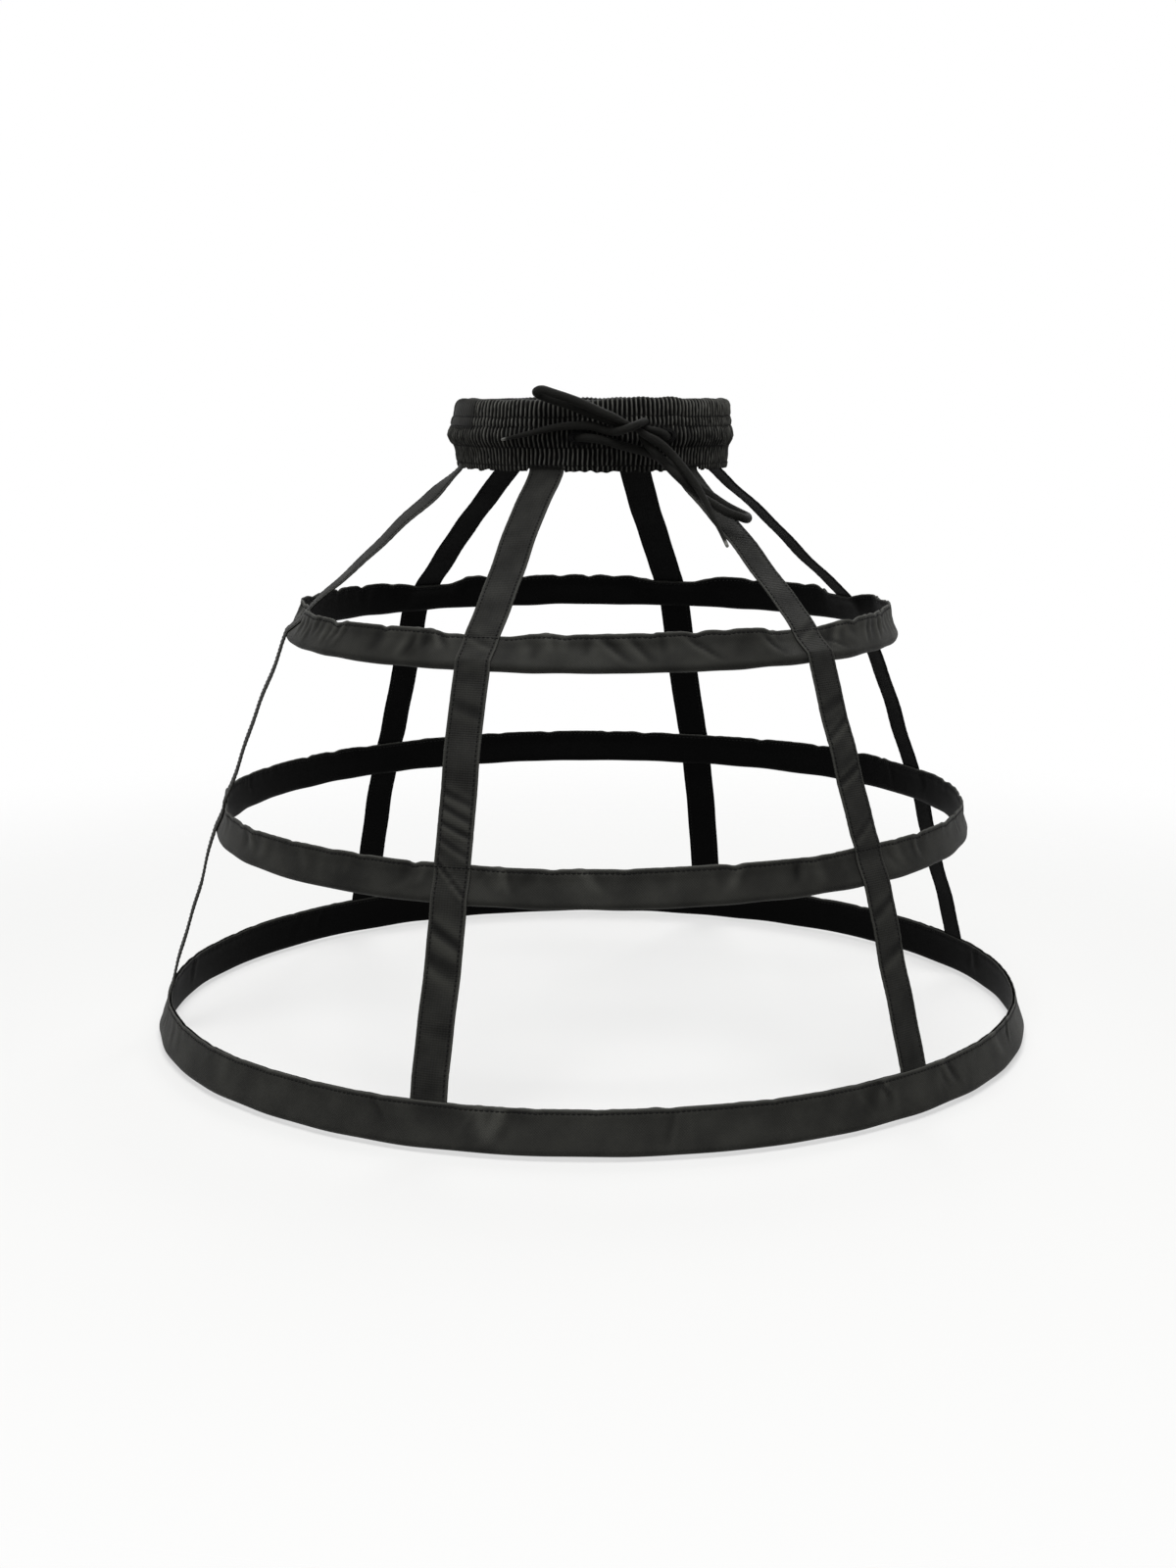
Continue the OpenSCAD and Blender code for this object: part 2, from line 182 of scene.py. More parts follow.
# Joining sleeves
# A short rolled steel tube over each pair of rod ends at centre back, crimped shut inside the casing.
# The CAD solids are kept.
rolled, tree, skin = new_material("rolled_plated_steel")
here = add(tree, "TexCoord").outputs["Object"]
# Drawn lines along the tube, about half a millimetre apart: the sleeves lie along X at the back.
lines = add(tree, "Mapping", {"Vector": here, "Scale": (40.0, 2000.0, 2000.0)})
lines = add(tree, "TexNoise", {"Vector": lines, "Scale": 1.0, "Detail": 2.0})
tone = add(tree, "Mix", {"Factor": lines, "A": srgb("#a8a49a"), "B": srgb("#bdb9b0")}, data_type="RGBA")
gloss = add(tree, "MapRange", {"Value": lines, "To Min": 0.28, "To Max": 0.45})
feed(skin, {"Base Color": tone, "Roughness": gloss, "Metallic": 1.0})
finish_solids(rolled, "sleeve_top", "sleeve_middle", "sleeve_bottom")

# Hoop casings
# Three strips of black polyester taffeta, folded lengthwise round a rod with both raw edges turned in.
# The folded edges are sewn together along the top, which puckers them; the fold hangs under the rod.


def finish_cloth(skin, on_cloth, weave, relief, slub, colours, swing, strength, cloud_scale, roughness):
    """Finishes a black cloth whose weave runs from -swing to swing, with its relief and its slubs.
    Colours are those of the threads' sides and tops, and of the painted highlights on ridges and on turned
    edges."""
    tree = skin.id_data
    sides, tops, ridges, edges = colours
    press = add(tree, "Bump", {"Height": relief, "Strength": strength, "Distance": 0.00012})
    # Uneven dye and handling, a few centimetres across, and threads a shade lighter on their tops.
    cloud = {"Vector": on_cloth, "Scale": cloud_scale, "Detail": 3.0}
    cloud = add(tree, "TexNoise", cloud, noise_dimensions="2D")
    cloud = add(tree, "MapRange", {"Value": cloud, "From Min": 0.15, "From Max": 0.85})
    shade = {"Value": weave, "From Min": -swing, "From Max": swing, "To Min": -0.26, "To Max": 0.26}
    shade = add(tree, "MapRange", shade)
    shade = add(tree, "Math", (shade, cloud), operation="ADD", use_clamp=True)
    tone = add(tree, "Mix", {"Factor": shade, "A": srgb(sides), "B": srgb(tops)}, data_type="RGBA")
    # Painted shade darkens creases, and painted highlights lighten ridges and turned edges.
    # The side that faces in is the dull wrong side of the cloth, and painted shade darkens it as well.
    fold, edge_highlight, wrong = (
        add(tree, "Attribute", attribute_name=label).outputs["Fac"]
        for label in ("fold", "turned_edge_highlight", "wrong_side_and_shade")
    )
    crease = add(tree, "MapRange", {"Value": fold, "From Min": 0.0, "From Max": -1.0, "To Max": 0.7})
    ridge_highlight = add(tree, "MapRange", {"Value": fold, "To Max": 0.5})
    for where, colour in ((crease, "#090909"), (ridge_highlight, ridges), (edge_highlight, edges), (wrong, "#060606")):
        tone = add(tree, "Mix", {"Factor": where, "A": tone, "B": srgb(colour)}, data_type="RGBA")
    gloss = add(tree, "MapRange", {"Value": slub, "To Min": roughness[0], "To Max": roughness[1]})
    dull = add(tree, "MapRange", {"Value": wrong, "To Min": 0.04, "To Max": 0.02})
    feed(skin, {"Base Color": tone, "Roughness": gloss, "Normal": press, "Specular IOR Level": dull})
    feed(skin, {"Sheen Weight": 0.01, "Sheen Roughness": 0.35})


def wave(tree, place, pitch):
    """A sine wave along a line, one for each pitch."""
    phase = add(tree, "Math", (place, math.tau / pitch), operation="MULTIPLY")
    return add(tree, "Math", (phase,), operation="SINE")


# Plain woven filament polyester: flat black with a low sheen, and painted highlights on folds and on the
# turned edge.
# Its threads are about 0.3 mm apart, too fine to show here, so they are drawn 1.7 mm apart.
taffeta, tree, skin = new_material("woven_polyester_taffeta")
thread_pitch = 1.7
on_cloth = add(tree, "UVMap", uv_map="cloth")
axes = add(tree, "SeparateXYZ", (on_cloth,)).outputs
wander = add(tree, "TexNoise", {"Vector": on_cloth, "Scale": 0.35, "Detail": 2.0}, noise_dimensions="2D")
warp = add(tree, "Math", (axes[0], wander), operation="ADD")
cross = (wave(tree, warp, thread_pitch), wave(tree, axes[1], thread_pitch))
cross = add(tree, "Math", cross, operation="MULTIPLY")
slub = add(tree, "TexNoise", {"Vector": on_cloth, "Scale": 0.9, "Detail": 3.0}, noise_dimensions="2D")
relief = add(tree, "Math", (slub, 1.6, cross), operation="MULTIPLY_ADD")
# Colours: threads' sides and tops, then painted highlights on ridges and on turned edges.
taffeta_colours = ("#1d1d1c", "#353532", "#4a4a46", "#4a4a47")
taffeta_look = dict(swing=1.0, strength=0.55, cloud_scale=0.03, roughness=(0.46, 0.62))
finish_cloth(skin, on_cloth, cross, relief, slub, taffeta_colours, **taffeta_look)

# Spun polyester thread: darker than the cloth round it, with a short highlight along each stitch.
thread, tree, skin = new_material("spun_polyester_thread")
here = add(tree, "TexCoord").outputs["Object"]
twist = add(tree, "TexNoise", {"Vector": here, "Scale": 1500.0})
tone = add(tree, "Mix", {"Factor": twist, "A": srgb("#030303"), "B": srgb("#0a0a0a")}, data_type="RGBA")
feed(skin, {"Base Color": tone, "Roughness": 0.6, "Specular IOR Level": 0.1})


def around(azimuth, radius, height):
    """Points, in mm, at an azimuth from centre front in degrees, a radius and a height."""
    turn = np.radians(azimuth)
    return np.stack(np.broadcast_arrays(radius * np.sin(turn), -radius * np.cos(turn), height), -1)


def turned_from(azimuth, centre):
    """Degrees from a centre, the short way round."""
    return (azimuth - centre + 180) % 360 - 180


def smooth_step(value, low, high):
    """0 up to low and 1 from high on, eased between them."""
    part = np.clip((value - low) / (high - low), 0.0, 1.0)
    return part * part * (3 - 2 * part)


def hump(value, width):
    """A round hump of height 1 at 0."""
    return np.exp(-((value / width) ** 2))


def crest_line(distance):
    """The section of a crease or ridge of height 1, by distance in its own widths."""
    return np.exp(-0.5 * distance**2)


def ripple(turn, least, most, count, seed):
    """An even, closed wander round a hoop, of about unit swing, with least to most waves a turn."""
    pick = np.random.RandomState(seed)
    waves = pick.randint(least, most + 1, count)
    total = sum(np.sin(w * turn + p) for w, p in zip(waves, pick.uniform(0, math.tau, count)))
    return total / math.sqrt(count)


def run_along(points):
    """How far along a line each of its points lies."""
    return np.r_[0.0, np.cumsum(np.linalg.norm(np.diff(points, axis=0), axis=1))]


def unit(rows):
    """Each row at length 1."""
    return rows / np.linalg.norm(rows, axis=1)[:, None]


def closed(line):
    """A line that comes back to its start."""
    return np.concatenate([line, line[:1]])


def mark_points(mesh, shape, marks):
    """Keeps a number at each point under each label, for a material or a node tree to read."""
    for label, values in marks.items():
        values = np.broadcast_to(values, shape).astype(np.float32)
        mesh.attributes.new(label, "FLOAT", "POINT").data.foreach_set("value", values.ravel())


def cloth_piece(name, grid, along, across, ring, outward, material, **marks):
    """A sheet from rows of points in mm, with a UV map in mm, facing the way that outward points."""
    rows, columns = grid.shape[:2]
    index = np.arange(rows * columns).reshape(rows, columns)
    first, last = (index, np.roll(index, -1, 0)) if ring else (index[:-1], index[1:])
    quads = np.stack([first[:, :-1], last[:, :-1], last[:, 1:], first[:, 1:]], -1).reshape(-1, 4)
    corner_u = np.stack([along[:-1], along[1:], along[1:], along[:-1]], -1)[:, None, :]
    corner_v = np.stack([across[:-1], across[:-1], across[1:], across[1:]], -1)
    corners = np.stack(np.broadcast_arrays(corner_u, corner_v), -1).reshape(-1, 4, 2)
    points = grid.reshape(-1, 3)
    a, b, c = (points[quads[:, k]] for k in (0, 1, 2))
    if np.mean(np.sum(np.cross(b - a, c - a) * outward.reshape(-1, 3)[quads[:, 0]], -1)) < 0:
        quads, corners = quads[:, ::-1], corners[:, ::-1]
    mesh = bpy.data.meshes.new(name)
    mesh.from_pydata((points * 0.001).tolist(), [], quads.tolist())
    mesh.uv_layers.new(name="cloth").uv.foreach_set("vector", corners.astype(np.float32).ravel())
    mark_points(mesh, grid.shape[:2], marks)
    mesh.shade_smooth()
    mesh.materials.append(material)
    return placed(name, mesh)


def new_tree(name, inputs, result):
    """A geometry node tree with named inputs of the given kinds, and its inputs' sockets."""
    tree = bpy.data.node_groups.new(name, "GeometryNodeTree")
    for label, kind in inputs.items():
        tree.interface.new_socket(label, in_out="INPUT", socket_type="NodeSocket" + kind)
    tree.interface.new_socket(result, in_out="OUTPUT", socket_type="NodeSocketGeometry")
    return tree, add(tree, "NodeGroupInput").outputs


# Running stitch: thread laid along seam lines in short, slightly uneven bars that sink in at both ends.
stitch_inputs = {"Seam lines": "Geometry", "Stitch spacing": "Float", "Stitch length": "Float"}
stitch_inputs |= {"Thread diameter": "Float", "Seed": "Int", "Thread": "Material"}
tree, given = new_tree("running_stitch", stitch_inputs, "Stitches")
stitching = tree
seam = add(tree, "GeometryNodeMeshToCurve", {"Mesh": given["Seam lines"]})
spots = {"Curve": seam, "Length": given["Stitch spacing"]}
spots = add(tree, "GeometryNodeCurveToPoints", spots, mode="LENGTH").outputs
lie = add(tree, "FunctionNodeAlignRotationToVector", {"Vector": spots["Tangent"]}, axis="X")
bar = add(tree, "GeometryNodeMeshUVSphere", {"Segments": 6, "Rings": 4, "Radius": 0.5})
spare = {"Min": 0.86, "Max": 1.06, "Seed": given["Seed"]}
spare = add(tree, "FunctionNodeRandomValue", spare, data_type="FLOAT")
reach = add(tree, "Math", (given["Stitch length"], spare), operation="MULTIPLY")
girth = (reach, given["Thread diameter"], given["Thread diameter"])
girth = add(tree, "CombineXYZ", girth)
laid = {"Points": spots["Points"], "Instance": bar, "Rotation": lie, "Scale": girth}
laid = add(tree, "GeometryNodeInstanceOnPoints", laid)
laid = add(tree, "GeometryNodeRealizeInstances", {"Geometry": laid})
laid = add(tree, "GeometryNodeSetShadeSmooth", {"Geometry": laid})
laid = add(tree, "GeometryNodeSetMaterial", {"Geometry": laid, "Material": given["Thread"]})
add(tree, "NodeGroupOutput", {"Stitches": laid})


def made_plain(piece, tree, values):
    """Runs a node tree on a piece with its named inputs and keeps the result as a plain mesh."""
    modifier = piece.modifiers.new(tree.name, "NODES")
    modifier.node_group = tree
    for item in tree.interface.items_tree:
        if item.name in values:
            modifier[item.identifier] = values[item.name]
    ready = bpy.context.evaluated_depsgraph_get()
    mesh = bpy.data.meshes.new_from_object(piece.evaluated_get(ready), depsgraph=ready)
    piece.modifiers.clear()
    piece.data = mesh
    mesh.name = piece.name


def sewn(name, seams, spacing, length, diameter):
    """Stitches along seam lines in mm, as one piece."""
    points, edges = [], []
    for seam_line in seams:
        start = len(points)
        points += (np.asarray(seam_line) * 0.001).tolist()
        edges += [(k, k + 1) for k in range(start, len(points) - 1)]
    mesh = bpy.data.meshes.new(name)
    mesh.from_pydata(points, edges, [])
    piece = placed(name, mesh)
    values = {"Stitch spacing": spacing * 0.001, "Stitch length": length * 0.001}
    values |= {"Thread diameter": diameter * 0.001, "Seed": 5, "Thread": thread}
    made_plain(piece, stitching, values)
    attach(piece, "root")
    return piece


def split_where(line, keep):
    """The runs of a line of points that keep is true for."""
    cuts = np.flatnonzero(np.diff(keep.astype(int))) + 1
    return [run for run, kept in zip(np.split(line, cuts), np.split(keep, cuts)) if kept[0] and len(run) > 2]


half_width = 25.0 / 2
strap_azimuths = {
    "strap_front_left": -30.0,
    "strap_front_right": 31.0,
    "strap_side_right": 101.0,
    "strap_back_right": 150.0,
    "strap_back_left": 208.0,
    "strap_side_left": 268.0,
}


def from_tapes(azimuth, radius):
    """Distance in mm, round a hoop, from the middle of the nearest tape."""
    apart = np.min([np.abs(turned_from(azimuth, middle)) for middle in strap_azimuths.values()], axis=0)
    return np.radians(apart) * radius


column_step = 2.0
fold_radius = 4.0
turned_in = 6.0
stitch_drop = 2.7
# The outer face under the edge: out from its mean face and down from the edge, grooved at the stitching.
face_line = [(-0.08, 0.25), (0.05, 0.7), (0.12, 1.4), (0.0, 2.1), (-0.3, stitch_drop), (-0.05, 3.3)]
face_line += [(0.12, 4.2), (0.15, 5.3)]
# Long slanting creases seen at the front of the top hoop: azimuth, and mm aside for each mm up.
seen_creases = ((8.6, -1.4), (36.5, -1.6), (22.4, -1.1), (-6.8, -1.1), (-2.5, -0.9), (-44.0, 0.5))
seen_crease_width = 2.4

# Rod's radius and level, lean of the edge and more lean at the tapes, height of the top edge and of the foot
# of its flat part, half its thickness, half the gap between plies, swing of the edge, creases and seed.
hoops = {
    "casing_top": (217.5, -142.0, 12.0, 26.0, 21.5, 13.0, 0.675, 0.12, 1.5, 95, 11),
    "casing_middle": (271.0, -282.5, 3.0, 8.0, 21.5, 13.0, 0.675, 0.12, 1.0, 90, 23),
    "casing_bottom": (316.0, -427.0, 10.0, 0.0, 25.0, 16.5, 1.35, 0.76, 0.5, 70, 37),
}
for name, hoop in hoops.items():
    hoop_radius, hoop_level, lean, drawn_in, rise, seam_up, half, gap, swing, crease_count, seed = hoop
    pick = np.random.RandomState(seed)
    columns = int(math.tau * hoop_radius / column_step)
    azimuth = np.arange(columns) * 360.0 / columns
    turn = np.radians(azimuth)
    arc = turn * hoop_radius

    # Section from one turned-in edge, over the top, down the outside, round the fold and up the inside.
    bend = math.atan2(seam_up, half) - math.acos(fold_radius / math.hypot(half, seam_up))
    side = [(gap, rise - turned_in), (gap, rise - 3.0), (gap, rise - 0.8), (gap + 0.1, rise - 0.25)]
    side += [(0.5 * (gap + half), rise)]
    side += [(half + out, rise - drop) for out, drop in face_line]
    side += [(half + 0.1, up) for up in np.linspace(rise - 6.6, seam_up + 0.6, 3)]
    bends = np.linspace(bend, -math.pi / 2, 8)
    fold = [(fold_radius * math.cos(a), fold_radius * math.sin(a)) for a in bends]
    foot = np.array(fold[0])
    top = np.array([half, seam_up])
    side += [tuple(top + (foot - top) * part) for part in np.linspace(0.12, 0.9, 6)]
    section = np.array(side + fold + [(-x, y) for x, y in reversed(side + fold[:-1])])
    faces_out = np.sign(np.arange(len(section)) - len(section) / 2 + 0.5) * -1
    lengths = run_along(section)
    slope = np.gradient(section, axis=0)
    normal = unit(np.stack([slope[:, 1], -slope[:, 0]], -1))
    normal *= np.sign(np.sum(normal * section, axis=1).sum())
    off_middle = np.abs(section[:, 0])
    up = section[:, 1]

    # The sewn edge runs in level lengths with short dips where the thread draws it in, and is held flat
    # under the tapes. The tapes, which hang straight from the waist to the rod, draw it in at each crossing.
    from_strap = from_tapes(azimuth, hoop_radius)
    free = smooth_step(from_strap, half_width + 1.0, half_width + 14.0)
    edge_part = smooth_step(up, seam_up - 7.0, rise - 1.0)
    edge_up = 0.3 * swing * ripple(turn, 5, 14, 6, seed + 1) * free + 0.3
    for dip in np.cumsum(pick.uniform(20.0, 58.0, 90)):
        deep = pick.uniform(0.4, 1.5) * swing
        edge_up -= deep * hump(arc - dip, pick.uniform(2.5, 6.0)) * free
    edge_out = 0.6 * ripple(turn, 8, 24, 7, seed + 3) + 0.15 * ripple(turn, 60, 130, 7, seed + 4)
    lift = edge_up[:, None] * edge_part
    shift = (swing * edge_out * free)[:, None] * edge_part

    # Creases: short slanting ridges and hollows that run down from the stitching, more beside the tapes.
    push = np.zeros((columns, len(section)))
    both_sides = np.array([-1, 1])[:, None]
    beside = [
        middle + both_sides * np.degrees((half_width + pick.uniform(4, 40, 5)) / hoop_radius)
        for middle in strap_azimuths.values()
    ]
    centres = np.r_[pick.uniform(0, 360, crease_count), np.concatenate(beside).ravel()]
    hard_from = len(centres)
    if name == "casing_top":
        # Hard slanting folds at the left and right ends, as in the photograph, where the hoop is drawn in.
        left_end = np.linspace(-93.0, -62.0, 13) + pick.uniform(-0.5, 0.5, 13)
        centres = np.r_[centres, left_end, np.linspace(48.0, 86.0, 14)]
    for k, centre in enumerate(centres):
        hard = k >= hard_from
        depth = pick.uniform(0.55, 0.95) if hard else pick.uniform(-0.75, 0.85)
        width = pick.uniform(1.5, 2.4) if hard else pick.uniform(1.6, 4.5)
        slant = pick.uniform(0.25, 0.7) if hard else pick.uniform(-0.8, 0.8)
        middle = pick.uniform(0.5, 0.8) * rise
        half_run = pick.uniform(0.35, 0.6) * rise
        face = 1 if hard or pick.rand() < 0.6 else -1
        apart = turned_from(azimuth, centre) * math.pi / 180 * hoop_radius
        near = np.flatnonzero(np.abs(apart) < 4 * width + abs(slant) * rise)
        distance = (apart[near, None] - slant * (up - middle)) / width
        run = np.clip(1 - ((up - middle) / half_run) ** 2, 0, 1) * (faces_out == face)
        push[near] += depth * (crest_line(distance) - 0.45 * crest_line(distance - 1.9)) * run
    if name == "casing_top":
        for centre, slant in seen_creases:
            apart = turned_from(azimuth, centre) * math.pi / 180 * hoop_radius
            distance = (apart[:, None] - slant * (up - 0.5 * rise)) / seen_crease_width
            run = np.clip(1 - ((up - 0.48 * rise) / (0.45 * rise)) ** 2, 0, 1) * (faces_out > 0)
            push += (0.6 * crest_line(distance + 2.2) - 0.8 * crest_line(distance)) * run
    push *= (0.15 + 0.85 * free)[:, None]
    # Painted shade in the creases' hollows and painted highlights on their ridges, by how far the cloth is
    # pushed.
    fold_shade_and_highlight = np.clip(push / 0.7, -1, 1)
    # Puckers between stitches, and a fold that isn't quite even under the rod. Turned-in edges stay flat.
    pucker = 0.16 * ripple(turn, int(columns / 5), int(columns / 3.2), 9, seed + 5)
    push += pucker[:, None] * hump(up - rise + stitch_drop, 2.6) * free[:, None]
    push += 0.28 * ripple(turn, 8, 40, 8, seed + 6)[:, None] * (1 - smooth_step(up, -1.0, 6.0))
    push = np.where((off_middle <= gap + 0.11) & (up > 5), 0.0, push)

    out = section[:, 0] + normal[:, 0] * push + shift
    high = section[:, 1] + normal[:, 1] * push + lift
    pulled = 1 - smooth_step(from_strap, half_width, half_width + 36.0)
    tilt = np.radians(lean + drawn_in * pulled)[:, None]
    radius = hoop_radius + out * np.cos(tilt) - high * np.sin(tilt)
    level = hoop_level + out * np.sin(tilt) + high * np.cos(tilt)
    grid = around(azimuth[:, None], radius, level)
    facing = grid - around(azimuth, hoop_radius, hoop_level)[:, None, :]
    round_hoop = np.r_[arc, math.tau * hoop_radius]
    # A painted highlight along the folded top edge, and painted shade on the inner face, less of it under
    # that highlight.
    edge_highlight_mark = hump(up - rise, 0.9) * (off_middle > gap)
    inner_side_and_shade = (faces_out < 0) * (1 - 0.6 * edge_highlight_mark)
    cloth_marks = {"turned_edge_highlight": edge_highlight_mark, "wrong_side_and_shade": inner_side_and_shade, "fold": fold_shade_and_highlight}
    casing = cloth_piece(name + "_cloth", grid, round_hoop, lengths, True, facing, taffeta, **cloth_marks)
    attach(casing, "root")
    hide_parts(name)

    # One line of stitching under the edge shows outside and inside. Tapes lie over it, but not at the hem.
    off_line = np.abs(up - (rise - stitch_drop)) + 9 * (off_middle < half - 0.3)
    outer, inner = (grid[:, int(np.argmin(off_line + 9 * (faces_out != face)))] for face in (1, -1))
    proud = 0.18 * (outer - inner) / np.linalg.norm(outer - inner, axis=1)[:, None]
    seams = [closed(outer + proud), closed(inner - proud)]
    if name != "casing_bottom":
        clear = from_strap > half_width + 1.0
        start = int(np.argmin(clear))
        seams[:1] = split_where(np.roll(outer + proud, -start, 0), np.roll(clear, -start))
    stitches = sewn(name + "_stitching", seams, spacing=3.4, length=2.9, diameter=0.9)

# Tapes
# Six strips of black ribbed cloth folded to a double tape 25 mm wide, topstitched near both edges.
# Each hangs from the waistband's seam, is sewn over the two upper hoops and ends inside the bottom casing.

# Ribbed polyester tape: fine crosswise ribs, a little darker than the casings.
# The ribs are about 0.5 mm apart and are drawn 1.5 mm apart, and the threads across them 1.9 mm, to show.
ribbed, tree, skin = new_material("ribbed_polyester_tape")
rib_pitch = 1.5
end_pitch = 1.9
on_cloth = add(tree, "UVMap", uv_map="cloth")
axes = add(tree, "SeparateXYZ", (on_cloth,)).outputs
slub = add(tree, "TexNoise", {"Vector": on_cloth, "Scale": 0.8, "Detail": 3.0}, noise_dimensions="2D")
ribs = add(tree, "Math", (slub, 0.7, axes[0]), operation="MULTIPLY_ADD")
relief = (wave(tree, axes[1], end_pitch), 0.5, wave(tree, ribs, rib_pitch))
relief = add(tree, "Math", relief, operation="MULTIPLY_ADD")
# Colours: threads' sides and tops, then painted highlights on ridges and on turned edges.
ribbed_colours = ("#171716", "#2c2c2a", "#42423e", "#3c3c39")
ribbed_look = dict(swing=1.5, strength=0.5, cloud_scale=0.045, roughness=(0.5, 0.66))
finish_cloth(skin, on_cloth, relief, relief, slub, ribbed_colours, **ribbed_look)

# Middle line of a tape, as radius and level: down from the seam, over the two casings, into the third.
# On a casing it is given by how far it lies out from the rod and up from it, on the leaning face.
tape_line = [(94.65, -19.8), (95.3, -22.4), (95.4, -25.0)]
on_face = 1.42
stitch_levels = []
for name in ("casing_top", "casing_middle"):
    hoop_radius, hoop_level, lean, drawn_in, rise = hoops[name][:5]
    tilt = math.radians(lean + drawn_in)
    for out, high in ((on_face, rise), (1.43, 13.1), (4.59, 1.22), (4.74, 0.34)):
        radius = hoop_radius + out * math.cos(tilt) - high * math.sin(tilt)
        tape_line.append((radius, hoop_level + out * math.sin(tilt) + high * math.cos(tilt)))
    stitch_levels.append(hoop_level + on_face * math.sin(tilt) + (rise - stitch_drop) * math.cos(tilt))
tape_line += [(311.31, -400.41), (313.74, -414.20)]


def rounded(line, reach, step):
    """A line with its corners eased over a reach, in even steps."""
    line = np.array(line, float)
    points = [line[0]]
    for before, corner, after in zip(line, line[1:], line[2:]):
        a, b = before - corner, after - corner
        a *= min(reach, 0.45 * np.linalg.norm(a)) / np.linalg.norm(a)
        b *= min(reach, 0.45 * np.linalg.norm(b)) / np.linalg.norm(b)
        for t in np.linspace(0, 1, 7):
            points.append(corner + a * (1 - t) ** 2 + b * t**2)
    points = np.array(points + [line[-1]])
    run = run_along(points)
    even = np.linspace(0, run[-1], int(run[-1] / step) + 1)
    return np.stack([np.interp(even, run, points[:, k]) for k in range(points.shape[1])], -1), even


tape_path, tape_run = rounded(tape_line, reach=4.0, step=1.25)
tape_level = tape_path[:, 1]
tape_slope = unit(np.gradient(tape_path, axis=0))
tape_out = np.stack([-tape_slope[:, 1], tape_slope[:, 0]], -1)
topstitch_in = 2.5
edge_line = half_width - topstitch_in

# Section across the tape: rounded folded edges, a groove along each topstitch and a slightly full middle.
rise_at = [(half_width, 0.0), (half_width - 0.08, 0.3), (half_width - 0.35, 0.54), (half_width - 0.9, 0.66)]
rise_at += [(half_width - 1.5, 0.62), (edge_line + 0.35, 0.36), (edge_line - 0.25, 0.32)]
rise_at += [(edge_line - 1.0, 0.56), (edge_line - 2.0, 0.66), (5.0, 0.7), (2.0, 0.72)]
front = [(-x, h) for x, h in rise_at] + [(x, h) for x, h in reversed(rise_at)]
back = [(x, -min(h, 0.6)) for x, h in reversed(front)]
tape_section = np.array(front + back)
front_count = len(front)
face = np.r_[np.ones(front_count), np.zeros(len(back))]
lengths = run_along(tape_section)
x = tape_section[:, 0]
# A painted highlight along each folded edge of the front face.
edge_highlight_mark = hump(np.abs(x) - half_width + 0.7, 0.6) * face

# Wrinkles of the two front tapes, from the photograph: level, slope across the tape, depth and width.
seen_wrinkles = {
    "strap_front_left": [
        (-222, 0.4, 0.55, 1.9), (-231.5, 0.45, 0.7, 1.8), (-241, 0.42, 0.85, 1.6), (-251.5, 0.55, 0.6, 1.7),
        (-271, 1.0, 0.8, 1.6), (-305, 0.6, 0.8, 3.2), (-322, 0.35, 0.5, 3.4), (-168, 0.3, 0.35, 3.0),
        (-128, 0.5, 0.4, 2.2),
    ],
    "strap_front_right": [
        (-187, -0.55, 0.75, 2.0), (-216, -0.5, 0.8, 1.9), (-172, -0.35, 0.4, 2.6), (-300, -0.5, 0.6, 2.4),
        (-330, -0.45, 0.5, 2.8), (-250, -0.6, 0.5, 1.8), (-126, -0.5, 0.5, 2.0),
    ],
}
# How far each tape sways aside on its way down, also from the photograph: depths below the waist and mm.
seen_sway = {
    "strap_front_left": ((26, 60, 115, 142, 175, 230, 265), (0, -2.5, -3.5, -4.8, -4, -1, 0)),
    "strap_front_right": ((26, 50, 80, 105, 130, 160, 220), (0, 4, 6, 6, 3.5, 2, 0)),
    "strap_back_left": ((26, 50, 90, 125, 165, 230), (0, 4, 4.5, 3, 2, 0)),
    "strap_back_right": ((26, 60, 110, 142, 190, 250, 270), (0, 2, 4, 5, 4, 1, 0)),
    "strap_side_right": ((26, 60, 140, 280, 390, 410), (0, -4, -5, -5, -4, -3)),
}
crossings = ((-131, 12.0), (-271, 13.0))
on_hoops = np.maximum(*(np.exp(-(((tape_level - level) / reach) ** 4)) for level, reach in crossings))
at_ends = np.maximum(smooth_step(tape_level, -40.0, -26.0), smooth_step(-tape_level, 388.0, 400.0))
held = np.maximum(on_hoops, at_ends)
easing = np.hanning(25) / np.hanning(25).sum()


def row_at(level):
    """The row of a tape's points that lies nearest to a level."""
    return int(np.argmin(np.abs(tape_level - level)))


